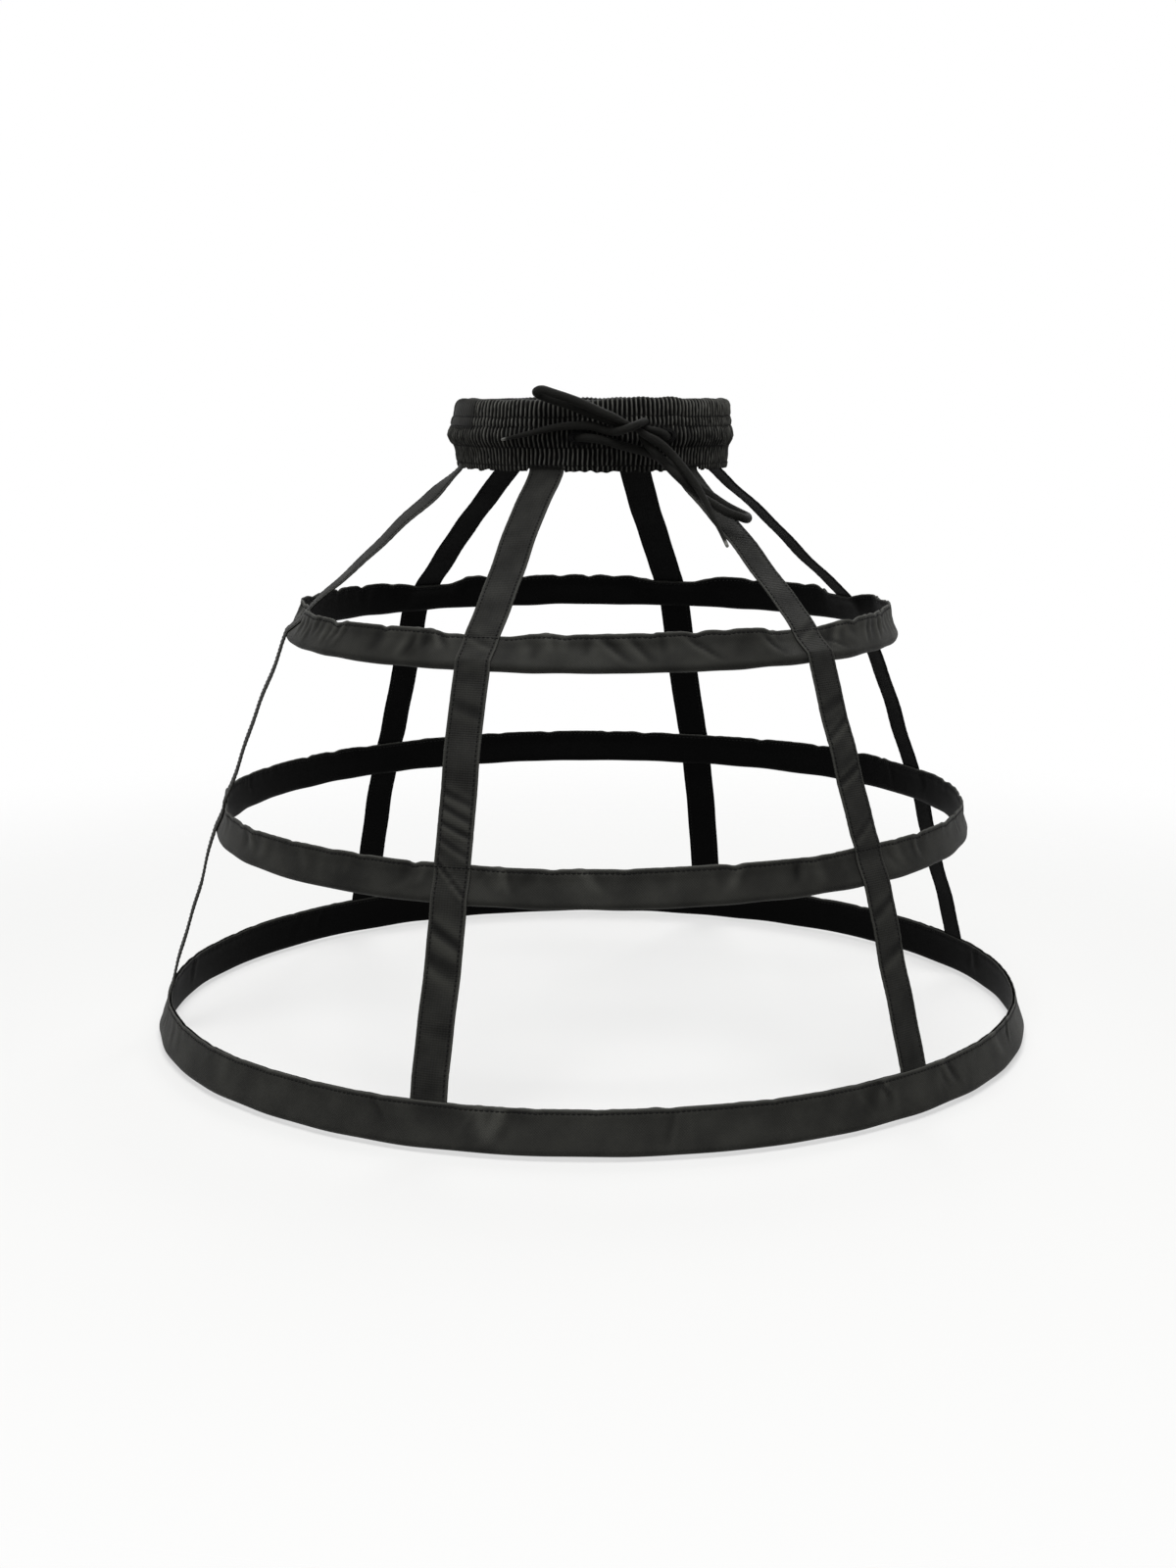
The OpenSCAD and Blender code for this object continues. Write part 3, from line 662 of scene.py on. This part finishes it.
for order, (name, azimuth) in enumerate(strap_azimuths.items()):
    pick = np.random.RandomState(101 + order)
    seen = seen_wrinkles.get(name, [])
    wrinkles = [(level, slope, 1.3 * depth, width) for level, slope, depth, width in seen]
    for k in range(7):
        level, slope = pick.uniform(-390, -40), pick.uniform(-0.7, 0.7)
        wrinkles.append((level, slope, pick.uniform(0.1, 0.3), pick.uniform(2.5, 4.5)))
    bow = np.zeros((len(tape_path), len(x)))
    for level, slope, depth, width in wrinkles:
        distance = (tape_run[:, None] - tape_run[row_at(level)] - slope * x) / width
        valley = 0.75 * crest_line(distance - 1.7) - 0.85 * crest_line(distance)
        bow += depth * (valley + 0.4 * crest_line(distance + 1.8))
    bow *= 1 - 0.85 * smooth_step(np.abs(x), half_width - 5.0, half_width - 1.5)
    # Painted shade in the wrinkles' hollows and painted highlights on their ridges.
    fold_shade_and_highlight = np.clip(bow / 0.6, -1, 1)
    # Between the hoops the whole tape bows; on them only its face can lift.
    bow = np.where(bow < 0, bow * (1 - 0.75 * on_hoops[:, None]), bow)
    waves = ((90, pick.rand() * 6, 0.5), (41, pick.rand() * 6, 0.3))
    slack = sum(np.sin(math.tau * tape_run / length + phase) * size for length, phase, size in waves)
    bow += (slack * (1 - held))[:, None]
    # Edges pucker between topstitches, each edge in its own way.
    for edge in (-1, 1):
        waves = (4.3, 5.6, 7.1, 9.4)
        pucker = sum(np.sin(math.tau * tape_run / length + pick.rand() * 6) for length in waves) * 0.03
        bow += pucker[:, None] * hump(x - edge * half_width, 3.0) * (1 - 0.6 * on_hoops)[:, None]
    for level in stitch_levels:
        groove = 0.3 * hump(tape_run - tape_run[row_at(level)], 1.1)
        bow -= groove[:, None] * (face * smooth_step(-np.abs(x), -half_width, -half_width + 0.8))
    height = tape_section[:, 1] + np.where(face > 0, bow, bow * (1 - on_hoops[:, None]))
    sway = 0.6 * np.sin(math.tau * tape_run / 210 + pick.rand() * 6) * (1 - held)
    if name in seen_sway:
        kink = np.interp(-tape_level, *seen_sway[name])
        sway = sway + np.convolve(np.pad(kink, len(easing) // 2, mode="edge"), easing, "valid")
    across = x + sway[:, None]
    if name == "strap_side_left":
        # This one hangs with a slight twist between the waist and the top hoop.
        twist = math.radians(13.0) * smooth_step(-tape_level, 26.0, 44.0)
        twist = twist * np.interp(-tape_level, (44.0, 118.0), (1.0, 0.1))
        height = height - across * np.sin(twist * (tape_level > -118.0))[:, None]
    reach = tape_path[:, None, 0] + tape_out[:, None, 0] * height
    turn = math.radians(azimuth)
    out_way = np.array([math.sin(turn), -math.cos(turn), 0.0])
    side_way = np.array([math.cos(turn), math.sin(turn), 0.0])
    grid = np.sqrt(reach**2 - across**2)[..., None] * out_way + across[..., None] * side_way
    grid[..., 2] = tape_level[:, None] + tape_out[:, None, 1] * height
    facing = tape_out[:, None, :1] * out_way + tape_out[:, None, 1:] * np.array([0.0, 0.0, 1.0])
    facing = np.where(face > 0, 1.0, -1.0)[None, :, None] * facing
    # The back face gets painted shade, and the front face the painted highlights and shade of its edges and
    # wrinkles.
    cloth_marks = {"turned_edge_highlight": edge_highlight_mark, "wrong_side_and_shade": 1 - face, "fold": fold_shade_and_highlight * face}
    tape = cloth_piece(name + "_tape", grid, tape_run, lengths, False, facing, ribbed, **cloth_marks)
    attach(tape, "root")
    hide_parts(name)

    # Topstitching along both edges, seen on both faces, and the casings' stitching carried over the tape.
    shown = (tape_level < -26.0) & (tape_level > -399.0)
    seams = []
    for edge in (-1, 1):
        for side, open_there in ((1, shown), (0, shown & (on_hoops < 0.35))):
            at = np.flatnonzero((face == side) & (np.sign(x) == edge))
            at = at[np.argmin(np.abs(np.abs(x[at]) - edge_line))]
            seams += split_where(grid[:, at] + facing[:, at] * 0.14, open_there)
    for level in stitch_levels:
        row = row_at(level)
        seams.append(grid[row, 4 : front_count - 4] + facing[row, 0] * 0.16)
    stitches = sewn(name + "_topstitching", seams, spacing=3.1, length=2.2, diameter=1.0)

# Waist elastics
# Three flat braided elastics run inside the stitched rows of the waistband and draw it in.
# The CAD solids are kept, hidden between the plies.
elastic, tree, skin = new_material("braided_rubber_elastic")
# Lengthwise cords of covered rubber, 1.2 mm apart.
cord_pitch = 0.0012
here = add(tree, "TexCoord").outputs["Object"]
axes = add(tree, "SeparateXYZ", (here,)).outputs
cords = wave(tree, axes[2], cord_pitch)
press = add(tree, "Bump", {"Height": cords, "Strength": 0.6, "Distance": 0.0002})
shade = add(tree, "MapRange", {"Value": cords, "From Min": -1.0})
tone = add(tree, "Mix", {"Factor": shade, "A": srgb("#0f0f0f"), "B": srgb("#1c1c1b")}, data_type="RGBA")
feed(skin, {"Base Color": tone, "Normal": press, "Roughness": 0.7})
finish_solids(elastic, "elastic_header", "elastic_narrow", "elastic_wide")

# Waistband
# One wide strip of the casing cloth, folded over at the top and stitched through in rows, with elastics
# and a drawstring in the rows. They draw a metre of cloth up into gathers that puff out between the rows.
stitch_rows = np.array([12.0, 5.5, -8.5, -20.5])
cord_row = 2
patch_azimuth = -81.5
patch_half = 26.5

# Gathers: folds that ride up and down on the band, sharp in the hollows and round on the crests. In each
# row they wander and kink in their own way. Each point's "fullness" says how far it may rise, "lift" how far
# an edge goes up with it and "unrest" how crooked its row is; the last mark is painted shade along the
# stitching.
gather_inputs = {"Band": "Geometry", "Gathers": "Int", "Gather depth": "Float", "Wander": "Float"}
gather_inputs |= {"Kink": "Float", "Seed": "Float", "Cloth": "Material"}
tree, given = new_tree("gathers", gather_inputs, "Gathered band")
gathering = tree
marks = {}
for label in ("turn", "row", "fullness", "lift", "unrest", "row_shade"):
    marks[label] = add(tree, "GeometryNodeInputNamedAttribute", {"Name": label}, data_type="FLOAT")
here = add(tree, "GeometryNodeInputPosition")
own = add(tree, "Math", (marks["row"], 0.4, given["Seed"]), operation="MULTIPLY_ADD")
phase = add(tree, "Math", (marks["turn"], given["Gathers"]), operation="MULTIPLY")
own_noise = {"Vector": here, "W": own, "Detail": 1.0}
for waves_a_metre, amount in ((42.0, "Wander"), (150.0, "Kink")):
    noise = {**own_noise, "Scale": waves_a_metre}
    noise = add(tree, "TexNoise", noise, noise_dimensions="4D")
    noise = add(tree, "Math", (noise, 0.5), operation="SUBTRACT")
    swing = add(tree, "Math", (given[amount], marks["unrest"]), operation="MULTIPLY")
    phase = add(tree, "Math", (noise, swing, phase), operation="MULTIPLY_ADD")
steps = (("MULTIPLY", 0.5), ("SINE",), ("ABSOLUTE",), ("POWER", 1.7), ("MULTIPLY_ADD", 2.0, -1.0))
crest = phase
for step, *numbers in steps:
    crest = add(tree, "Math", (crest, *numbers), operation=step)
uneven = add(tree, "TexNoise", {**own_noise, "Scale": 230.0}, noise_dimensions="4D")
uneven = add(tree, "Math", (uneven, 1.5, 0.22), operation="MULTIPLY_ADD")
depth = add(tree, "Math", (given["Gather depth"], marks["fullness"]), operation="MULTIPLY")
for share in (uneven, crest):
    depth = add(tree, "Math", (depth, share), operation="MULTIPLY")
level_out = add(tree, "VectorMath", (here, (1.0, 1.0, 0.0)), operation="MULTIPLY")
level_out = add(tree, "VectorMath", (level_out,), operation="NORMALIZE")
level_out = add(tree, "VectorMath", {0: level_out, "Scale": depth}, operation="SCALE")
raised = add(tree, "Math", (marks["lift"], crest), operation="MULTIPLY")
raised = add(tree, "CombineXYZ", {2: raised})
moved = add(tree, "VectorMath", (level_out, raised), operation="ADD")
# The mark that the material reads: 1 on a full crest, for a painted highlight, -1 in a hollow, for painted
# shade, between them where cloth lies flat, and lowered for painted shade along the stitching.
high = add(tree, "Math", (crest, uneven), operation="MULTIPLY")
full = add(tree, "Math", (marks["fullness"],), operation="ABSOLUTE")
mark = add(tree, "Mix", {"Factor": full, "A": 0.22, "B": high}, data_type="FLOAT")
mark = add(tree, "Math", (marks["row_shade"], -0.4, mark), operation="MULTIPLY_ADD")
marked = {"Geometry": given["Band"], "Name": "gather", "Value": mark}
marked = add(tree, "GeometryNodeStoreNamedAttribute", marked, data_type="FLOAT", domain="POINT")
shaped = add(tree, "GeometryNodeSetPosition", {"Geometry": marked, "Offset": moved})
shaped = add(tree, "GeometryNodeRealizeInstances", {"Geometry": shaped})
shaped = add(tree, "GeometryNodeSetMaterial", {"Geometry": shaped, "Material": given["Cloth"]})
add(tree, "NodeGroupOutput", {"Gathered band": shaped})

# The same taffeta, packed into gathers, with painted highlights on the crests and painted black shade in the
# hollows, which close up on themselves deeper than the mesh can follow.
gathered = taffeta.copy()
gathered.name = "gathered_taffeta_with_painted_light"
tree = gathered.node_tree
skin = tree.nodes["Principled BSDF"]
tone = skin.inputs["Base Color"].links[0].from_socket
gather = add(tree, "Attribute", attribute_name="gather").outputs["Fac"]
hollow_shade = {"Value": gather, "From Min": 0.75, "From Max": -0.3}
hollow_shade = add(tree, "MapRange", hollow_shade, interpolation_type="SMOOTHSTEP")
crest = add(tree, "MapRange", {"Value": gather, "From Min": 0.4, "From Max": 1.0, "To Max": 0.8})
for where, colour in ((crest, "#62625e"), (hollow_shade, "#040404")):
    tone = add(tree, "Mix", {"Factor": where, "A": tone, "B": srgb(colour)}, data_type="RGBA")
feed(skin, {"Base Color": tone})

# Profile from the frill's edge up the outside, over the top and down the inside: level, radius, fullness,
# and how far the crests lift the top edge.
band_profile = [
    (-24.4, 96.4, 0.5), (-23.4, 96.6, 0.65), (-22.4, 96.6, 0.75), (-21.2, 96.6, 0.8), (-20.5, 96.45, 0.75),
    (-19.8, 96.5, 0.8), (-18.6, 96.6, 0.85), (-17.0, 96.7, 0.9), (-15.4, 96.75, 0.9), (-13.8, 96.85, 0.9),
    (-12.2, 97.0, 0.9), (-10.6, 97.25, 0.9), (-9.2, 97.6, 0.85), (-8.5, 97.75, 0.8), (-7.8, 98.15, 0.9),
    (-6.4, 98.9, 1.0), (-4.9, 99.6, 1.0), (-3.3, 100.05, 1.0), (-1.7, 100.25, 1.0), (-0.1, 100.25, 1.0),
    (1.5, 100.0, 1.0), (3.1, 99.55, 1.0), (4.6, 99.05, 0.9), (5.5, 98.65, 0.8), (6.3, 98.7, 0.9),
    (7.4, 98.75, 0.95), (8.75, 98.7, 1.0), (10.1, 98.5, 0.95), (11.2, 98.3, 0.9), (12.0, 98.0, 0.8),
    (12.8, 98.05, 0.9), (14.3, 98.1, 1.0), (16.0, 98.1, 1.0), (17.7, 98.0, 1.0), (19.4, 97.8, 1.0),
    (21.0, 97.5, 0.95, 0.1), (22.4, 96.9, 0.85, 0.25), (23.4, 95.9, 0.65, 0.35), (23.9, 94.5, 0.45, 0.35),
    (23.9, 92.6, 0.3, 0.3), (23.3, 90.4, 0.3, 0.2), (22.0, 88.9, -0.4, 0.1), (18.0, 88.5, -0.6),
    (12.0, 88.7, -0.35), (9.0, 88.5, -0.6), (5.5, 88.7, -0.35), (-1.5, 88.4, -0.6), (-8.5, 88.7, -0.35),
    (-14.5, 88.5, -0.6), (-19.5, 88.9, -0.4), (-21.5, 90.5, -0.4), (-22.6, 92.6, -0.3),
]
outside_points = 39
band_level, band_radius, band_full, band_lift = np.array([(*point, 0.0)[:4] for point in band_profile]).T
outside = np.arange(len(band_profile)) < outside_points
gathers = 184
columns = gathers * 8
azimuth = np.arange(columns) * 360.0 / columns
turn = np.radians(azimuth)
levels, radii, full = (np.tile(values, (columns, 1)) for values in (band_level, band_radius, band_full))

# The drawn-up rows aren't quite level or equally full all round.
knot_azimuth = 8.0
sag = 0.5 * ripple(turn, 3, 8, 5, 71) + 0.25 * ripple(turn, 12, 30, 6, 72)
sag = sag + 1.9 * hump(turned_from(azimuth, knot_azimuth), 30.0) - 0.5
levels += sag[:, None] * smooth_step(levels, -26.0, 26.0)
radii += (0.35 * ripple(turn, 5, 18, 6, 73))[:, None] * np.clip(band_full, 0, 1)
# At the left the drawstring's row swells most and the header leans in.
at_left = hump(turned_from(azimuth, -100.0), 48.0)
swell = np.interp(band_level, (-24.4, -12.0, -2.0, 10.0, 23.9), (-0.4, 0.3, 2.6, 1.0, -1.6)) * outside
radii += at_left[:, None] * swell
# The frill's edge is scalloped unevenly.
frill = smooth_step(-band_level, 21.5, 24.4) * outside
levels += (0.4 * ripple(turn, 50, 110, 8, 74) + 0.45 * ripple(turn, 18, 45, 7, 75))[:, None] * frill

# Where the ends of the strip are joined, the two top rows lie flat, between two upright seams.
from_patch = np.radians(turned_from(azimuth, patch_azimuth)) * 98.0
on_patch = 1 - smooth_step(np.abs(from_patch), patch_half - 0.6, patch_half + 0.8)
upper = smooth_step(band_level, 2.5, 5.0) * outside
full *= 1 - 0.94 * on_patch[:, None] * upper
radii += (0.3 * on_patch - 0.6 * hump(np.abs(from_patch) - patch_half, 0.7))[:, None] * upper

# The frill stops short over each tape, which comes out from under the last stitching there.
over_strap = 1 - smooth_step(from_tapes(azimuth, 96.0), half_width - 0.8, half_width + 1.6)
levels += over_strap[:, None] * (np.clip(-20.7 - levels, 0, 9) * 0.82) * outside
full *= 1 - 0.75 * over_strap[:, None] * ((band_level < -20.0) & outside)
radii += 0.9 * over_strap[:, None] * (hump(band_level + 22.2, 1.3) * outside)

# Two buttonholes in the drawstring's row, for the ends of the cord.
hole_places = [(-15.2, -1.3), (18.8, -0.4)]
hole_half = (6.5, 3.9)
cut = np.zeros(levels.shape, bool)
for hole_azimuth, hole_level in hole_places:
    aside = np.radians(turned_from(azimuth, hole_azimuth))[:, None] * radii
    distance = np.hypot(aside / hole_half[0], (levels - hole_level) / hole_half[1])
    cut |= (distance < 1.0) & outside
    full *= np.where(outside, 0.35 + 0.65 * smooth_step(distance, 1.1, 1.9), 1.0)

cloth_length = 1010.0
grid = around(azimuth[:, None], radii, levels)
lengths = run_along(np.stack([band_level, band_radius], -1))
outward = around(azimuth[:, None], np.where(outside, 1.0, -1.0), 0.0)
round_waist = np.r_[turn, math.tau] / math.tau * cloth_length
# The inside of the band gets painted shade.
cloth_marks = {"turned_edge_highlight": 0.0, "wrong_side_and_shade": np.where(outside, 0.0, 1.0)}
band = cloth_piece("gathered_waistband", grid, round_waist, lengths, True, outward, gathered, **cloth_marks)
# The top row stands upright; the drawstring's row is the most crooked, above all at the right.
row = np.searchsorted(-stitch_rows, -band_level, side="right")
bunched = hump(turned_from(azimuth, 62.0), 30.0)
unrest = np.array([0.5, 0.75, 1.0, 0.9, 0.9])[row] * (1 + 0.7 * bunched[:, None] * (row == cord_row))
# Painted shade along each row of stitching, and half as much over the whole drawstring row outside.
row_shade = np.min(np.abs(band_level[:, None] - stitch_rows), axis=1) < 0.1
row_shade = np.maximum(row_shade, 0.5 * ((row == cord_row) & outside))
gather_marks = {"turn": turn[:, None], "row": row, "fullness": full, "lift": band_lift * 0.001}
gather_marks |= {"unrest": unrest, "row_shade": row_shade}
mark_points(band.data, levels.shape, gather_marks)
gather_values = {"Gathers": gathers, "Gather depth": 0.0013, "Wander": 7.0, "Kink": 3.4, "Seed": 4.0}
made_plain(band, gathering, {**gather_values, "Cloth": gathered})
work = bmesh.new()
work.from_mesh(band.data)
work.verts.ensure_lookup_table()
bmesh.ops.delete(work, geom=[work.verts[int(k)] for k in np.flatnonzero(cut)], context="VERTS")
work.to_mesh(band.data)
work.free()
band.data.shade_smooth()
for label in gather_marks:
    band.data.attributes.remove(band.data.attributes[label])
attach(band, "root")
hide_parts("waistband_shell", "waistband_lining")

# Rows of stitching, pulled tight over the crests outside and inside, and the two upright seams of the patch.
seams = []
for level in stitch_rows:
    for elsewhere, proud in ((~outside, 0.35), (outside, -0.35)):
        at = int(np.argmin(np.abs(band_level - level) + 99 * elsewhere))
        seams.append(closed(around(azimuth, radii[:, at] + proud, levels[:, at]))[::4])
for side in (-1, 1):
    column = int(np.argmin(np.abs(from_patch - side * (patch_half - 1.6))))
    seam_line = around(azimuth[column], radii[column] + 0.25, levels[column])
    seams.append(seam_line[(upper > 0.9) & (band_level < 23.0)])
row_stitches = sewn("waistband_stitching", seams, spacing=3.2, length=2.5, diameter=0.6)

# Buttonholes are worked round their edge in close upright stitches.
rim_radius = 101.0
rims = []
for hole_azimuth, hole_level in hole_places:
    for part in np.linspace(0, math.tau, 48, endpoint=False):
        spoke = []
        for size in (0.92, 1.06, 1.2):
            aside = hole_half[0] * size * math.cos(part)
            high = hole_half[1] * size * math.sin(part) + hole_level
            radius = rim_radius + 0.35 - 0.06 * (high - hole_level) ** 2
            spoke.append(around(hole_azimuth + math.degrees(aside / rim_radius), radius, high))
        rims.append(np.array(spoke))
rim_stitches = sewn("buttonhole_stitching", rims, spacing=0.9, length=1.5, diameter=0.75)

# Drawstring
# One round braided polyester cord runs through the third row. Both ends come out of buttonholes at the front
# and are tied there in a bow, with two loops and two tails whose tips are melted to a point.

# Sixteen-carrier braid: fine strands that cross at a slant, drawn 1.3 mm apart along the cord to show.
braid, tree, skin = new_material("braided_polyester_cord")
strand_count = 16
strand_pitch = 1.3
on_cord = add(tree, "UVMap", uv_map="cloth")
axes = add(tree, "SeparateXYZ", (on_cord,)).outputs
strands = []
for way in (1.0, -1.0):
    turns = add(tree, "Math", (axes[1], way * math.tau * strand_count), operation="MULTIPLY")
    slant = (axes[0], math.tau / strand_pitch, turns)
    slant = add(tree, "Math", slant, operation="MULTIPLY_ADD")
    strands.append(add(tree, "Math", (slant,), operation="SINE"))
plait = add(tree, "Math", (strands[0], strands[1]), operation="MAXIMUM")
fuzz = add(tree, "TexNoise", {"Vector": on_cord, "Scale": 2.2, "Detail": 3.0}, noise_dimensions="2D")
relief = add(tree, "Math", (fuzz, 0.8, plait), operation="MULTIPLY_ADD")
press = add(tree, "Bump", {"Height": relief, "Strength": 0.6, "Distance": 0.0003})
shade = add(tree, "MapRange", {"Value": relief, "From Min": -0.6, "From Max": 1.5})
tone = add(tree, "Mix", {"Factor": shade, "A": srgb("#090909"), "B": srgb("#1f1f1d")}, data_type="RGBA")
melted = add(tree, "Attribute", attribute_name="melted").outputs["Fac"]
tone = add(tree, "Mix", {"Factor": melted, "A": tone, "B": srgb("#7c7c78")}, data_type="RGBA")
feed(skin, {"Base Color": tone, "Normal": press, "Roughness": 0.55, "Specular IOR Level": 0.04})
feed(skin, {"Sheen Weight": 0.008, "Sheen Roughness": 0.4})

# Routes of the free ends: azimuth, radius, height, and the share of the full girth where the knot squeezes.
cord_diameter = 6.0
cord_routes = {
    "drawstring_left": [
        (-25, 92, -1.5), (-21, 92.7, -1.5), (-17, 97.6, -1.3), (-13, 104.4, -1.2), (-6.5, 105.2, -3),
        (0, 105.2, -6.5), (11, 105.2, -12), (16.5, 105.6, -17), (21, 107.2, -22.5),
        (25.5, 107.5, -28.5), (28.5, 113.5, -34.5), (31.5, 121, -41), (34, 129.5, -47.5),
        (36.5, 136, -52), (37, 142, -54.5), (34, 148, -55.5), (30.5, 149.5, -53.5), (27.5, 144.5, -50),
        (25.5, 136.5, -45), (23.5, 129, -40), (21, 124, -34), (17.5, 120.5, -26.5),
        (15.5, 113.4, -19.5), (12, 112.4, -12.5), (9, 109.6, -6, 0.85), (7.5, 105.2, -0.5, 0.7),
        (8, 104.3, 5, 0.66), (8.4, 106.4, 8.6, 0.7), (7.8, 110.8, 9.8, 0.8), (5.6, 115.8, 9, 0.9),
        (3.2, 118.3, 7.2, 0.95), (0.8, 117.8, 5.2, 0.95), (-1.2, 114.2, 3.6, 0.95),
        (-3, 109.6, 2.8, 0.95), (-5.5, 106.7, 3.6), (-8.5, 105.6, 5.2), (-13, 105.5, 7),
        (-23, 105.2, 6), (-34.5, 105, 1.5), (-47, 104, -3),
    ],
    "drawstring_right": [
        (28, 92, -1.5), (24.5, 92.7, -1.5), (20.5, 97.8, -1.2), (16.8, 104.6, 0.6),
        (12.5, 107.4, 3.2, 0.9), (9, 109, 4.4, 0.75), (5, 109, 5.6, 0.68), (1, 108.4, 7, 0.78),
        (-3, 106.6, 9, 0.92), (-8, 105.2, 12.5), (-14, 105, 16.5), (-19.5, 104.8, 20.5),
        (-25, 104.6, 23.5), (-29, 104.8, 26), (-31, 107, 28), (-30.5, 110.4, 29.5), (-28, 113, 30.5),
        (-24.5, 113.4, 28.5), (-19, 112.2, 25), (-13.5, 111.4, 21), (-8.5, 111.4, 16.5),
        (-3.5, 112.2, 12.5, 0.9), (0, 113, 9, 0.74), (4, 113.2, 5, 0.68), (7.5, 113.8, 0.5, 0.85),
        (12, 115, -4.5), (16.5, 117.5, -13), (19.5, 125, -24), (21.5, 132.5, -34.5), (22, 140.5, -44),
        (22, 149, -53.5), (22, 157.5, -62.5), (21.5, 166.5, -71),
    ],
}
# Girth of each tail as a share of the whole cord's, at these distances from its tip.
from_tip = (0.0, 4.0, 22.0, 48.0, 66.0)
tail_girth = {
    "drawstring_left": (0.32, 0.36, 0.62, 0.9, 1.0),
    "drawstring_right": (0.4, 0.44, 0.54, 0.82, 1.0),
}
cord_sides = 18
ring_step = 1.0
for (name, route), (hole_azimuth, hole_level) in zip(cord_routes.items(), hole_places):
    # A smooth curve through the points, in even steps.
    knots = np.array([[*around(*point[:3]), *(point[3:] or [1.0])] for point in route])
    eased = np.concatenate([[2 * knots[0] - knots[1]], knots, [2 * knots[-1] - knots[-2]]])
    line = []
    for p, q, r, s in zip(eased, eased[1:], eased[2:], eased[3:]):
        for t in np.linspace(0, 1, 10, endpoint=False):
            line.append(q + 0.5 * t * (r - p + t * (2 * p - 5 * q + 4 * r - s + t * (3 * (q - r) + s - p))))
    line = np.array(line + [knots[-1]])
    run = run_along(line[:, :3])
    even = np.linspace(0, run[-1], int(run[-1] / ring_step) + 1)
    line = np.stack([np.interp(even, run, line[:, k]) for k in range(4)], -1)
    line, squeezed = line[:, :3], np.minimum(line[:, 3], 1.0)
    # Rings across it, carried along without twist.
    slope = unit(np.gradient(line, axis=0))
    side = np.zeros_like(line)
    side[0] = np.cross(slope[0], [0, 0, 1.0])
    side[0] /= np.linalg.norm(side[0])
    for k in range(1, len(line)):
        side[k] = side[k - 1] - np.dot(side[k - 1], slope[k]) * slope[k]
        side[k] /= np.linalg.norm(side[k])
    lift = np.cross(slope, side)
    # The knot squeezes the braid, and over the last few centimetres it narrows to a melted tip.
    narrowing = np.interp(even[-1] - even, from_tip, tail_girth[name])
    girth = cord_diameter / 2 * np.minimum(squeezed, narrowing)
    angles = np.linspace(0, math.tau, cord_sides + 1)
    aside, above = np.cos(angles)[None, :, None], np.sin(angles)[None, :, None]
    ring = aside * side[:, None, :] + above * lift[:, None, :]
    grid = line[:, None, :] + girth[:, None, None] * ring
    # Two more rings close the tip: how far past the end, and how wide, in shares of the girth there.
    closing = [
        (line[-1] + slope[-1] * past * girth[-1])[None, :] + ring[-1] * girth[-1] * wide
        for past, wide in ((0.6, 0.75), (0.95, 0.05))
    ]
    grid = np.concatenate([grid, closing])
    ring = np.concatenate([ring, ring[-1:], ring[-1:]])
    along = np.r_[even, even[-1] + 0.6 * girth[-1], even[-1] + girth[-1]]
    round_cord = np.linspace(0, 1, cord_sides + 1)
    melt = smooth_step(along, even[-1] - 5.0, even[-1] - 1.0)[:, None]
    cord = cloth_piece(name + "_cord", grid, along, round_cord, False, ring, braid, melted=melt)
    work = bmesh.new()
    work.from_mesh(cord.data)
    bmesh.ops.remove_doubles(work, verts=work.verts, dist=1e-6)
    work.to_mesh(cord.data)
    work.free()
    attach(cord, "root")
    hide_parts(name)
    (around(hole_azimuth, 100.9, hole_level) * 0.001).tolist()

# Inside the band the same cord has no map of its own, so its braid is drawn from its place, in like colours.
hidden_braid, tree, skin = new_material("braided_polyester_cord_in_channel")
here = add(tree, "TexCoord").outputs["Object"]
plait = add(tree, "TexVoronoi", {"Vector": here, "Scale": 600.0}).outputs["Distance"]
press = add(tree, "Bump", {"Height": plait, "Strength": 0.7, "Distance": 0.0003})
tone = add(tree, "Mix", {"Factor": plait, "A": srgb("#2c2c2a"), "B": srgb("#121212")}, data_type="RGBA")
feed(skin, {"Base Color": tone, "Normal": press, "Roughness": 0.6})
finish_solids(hidden_braid, "drawstring_channel")
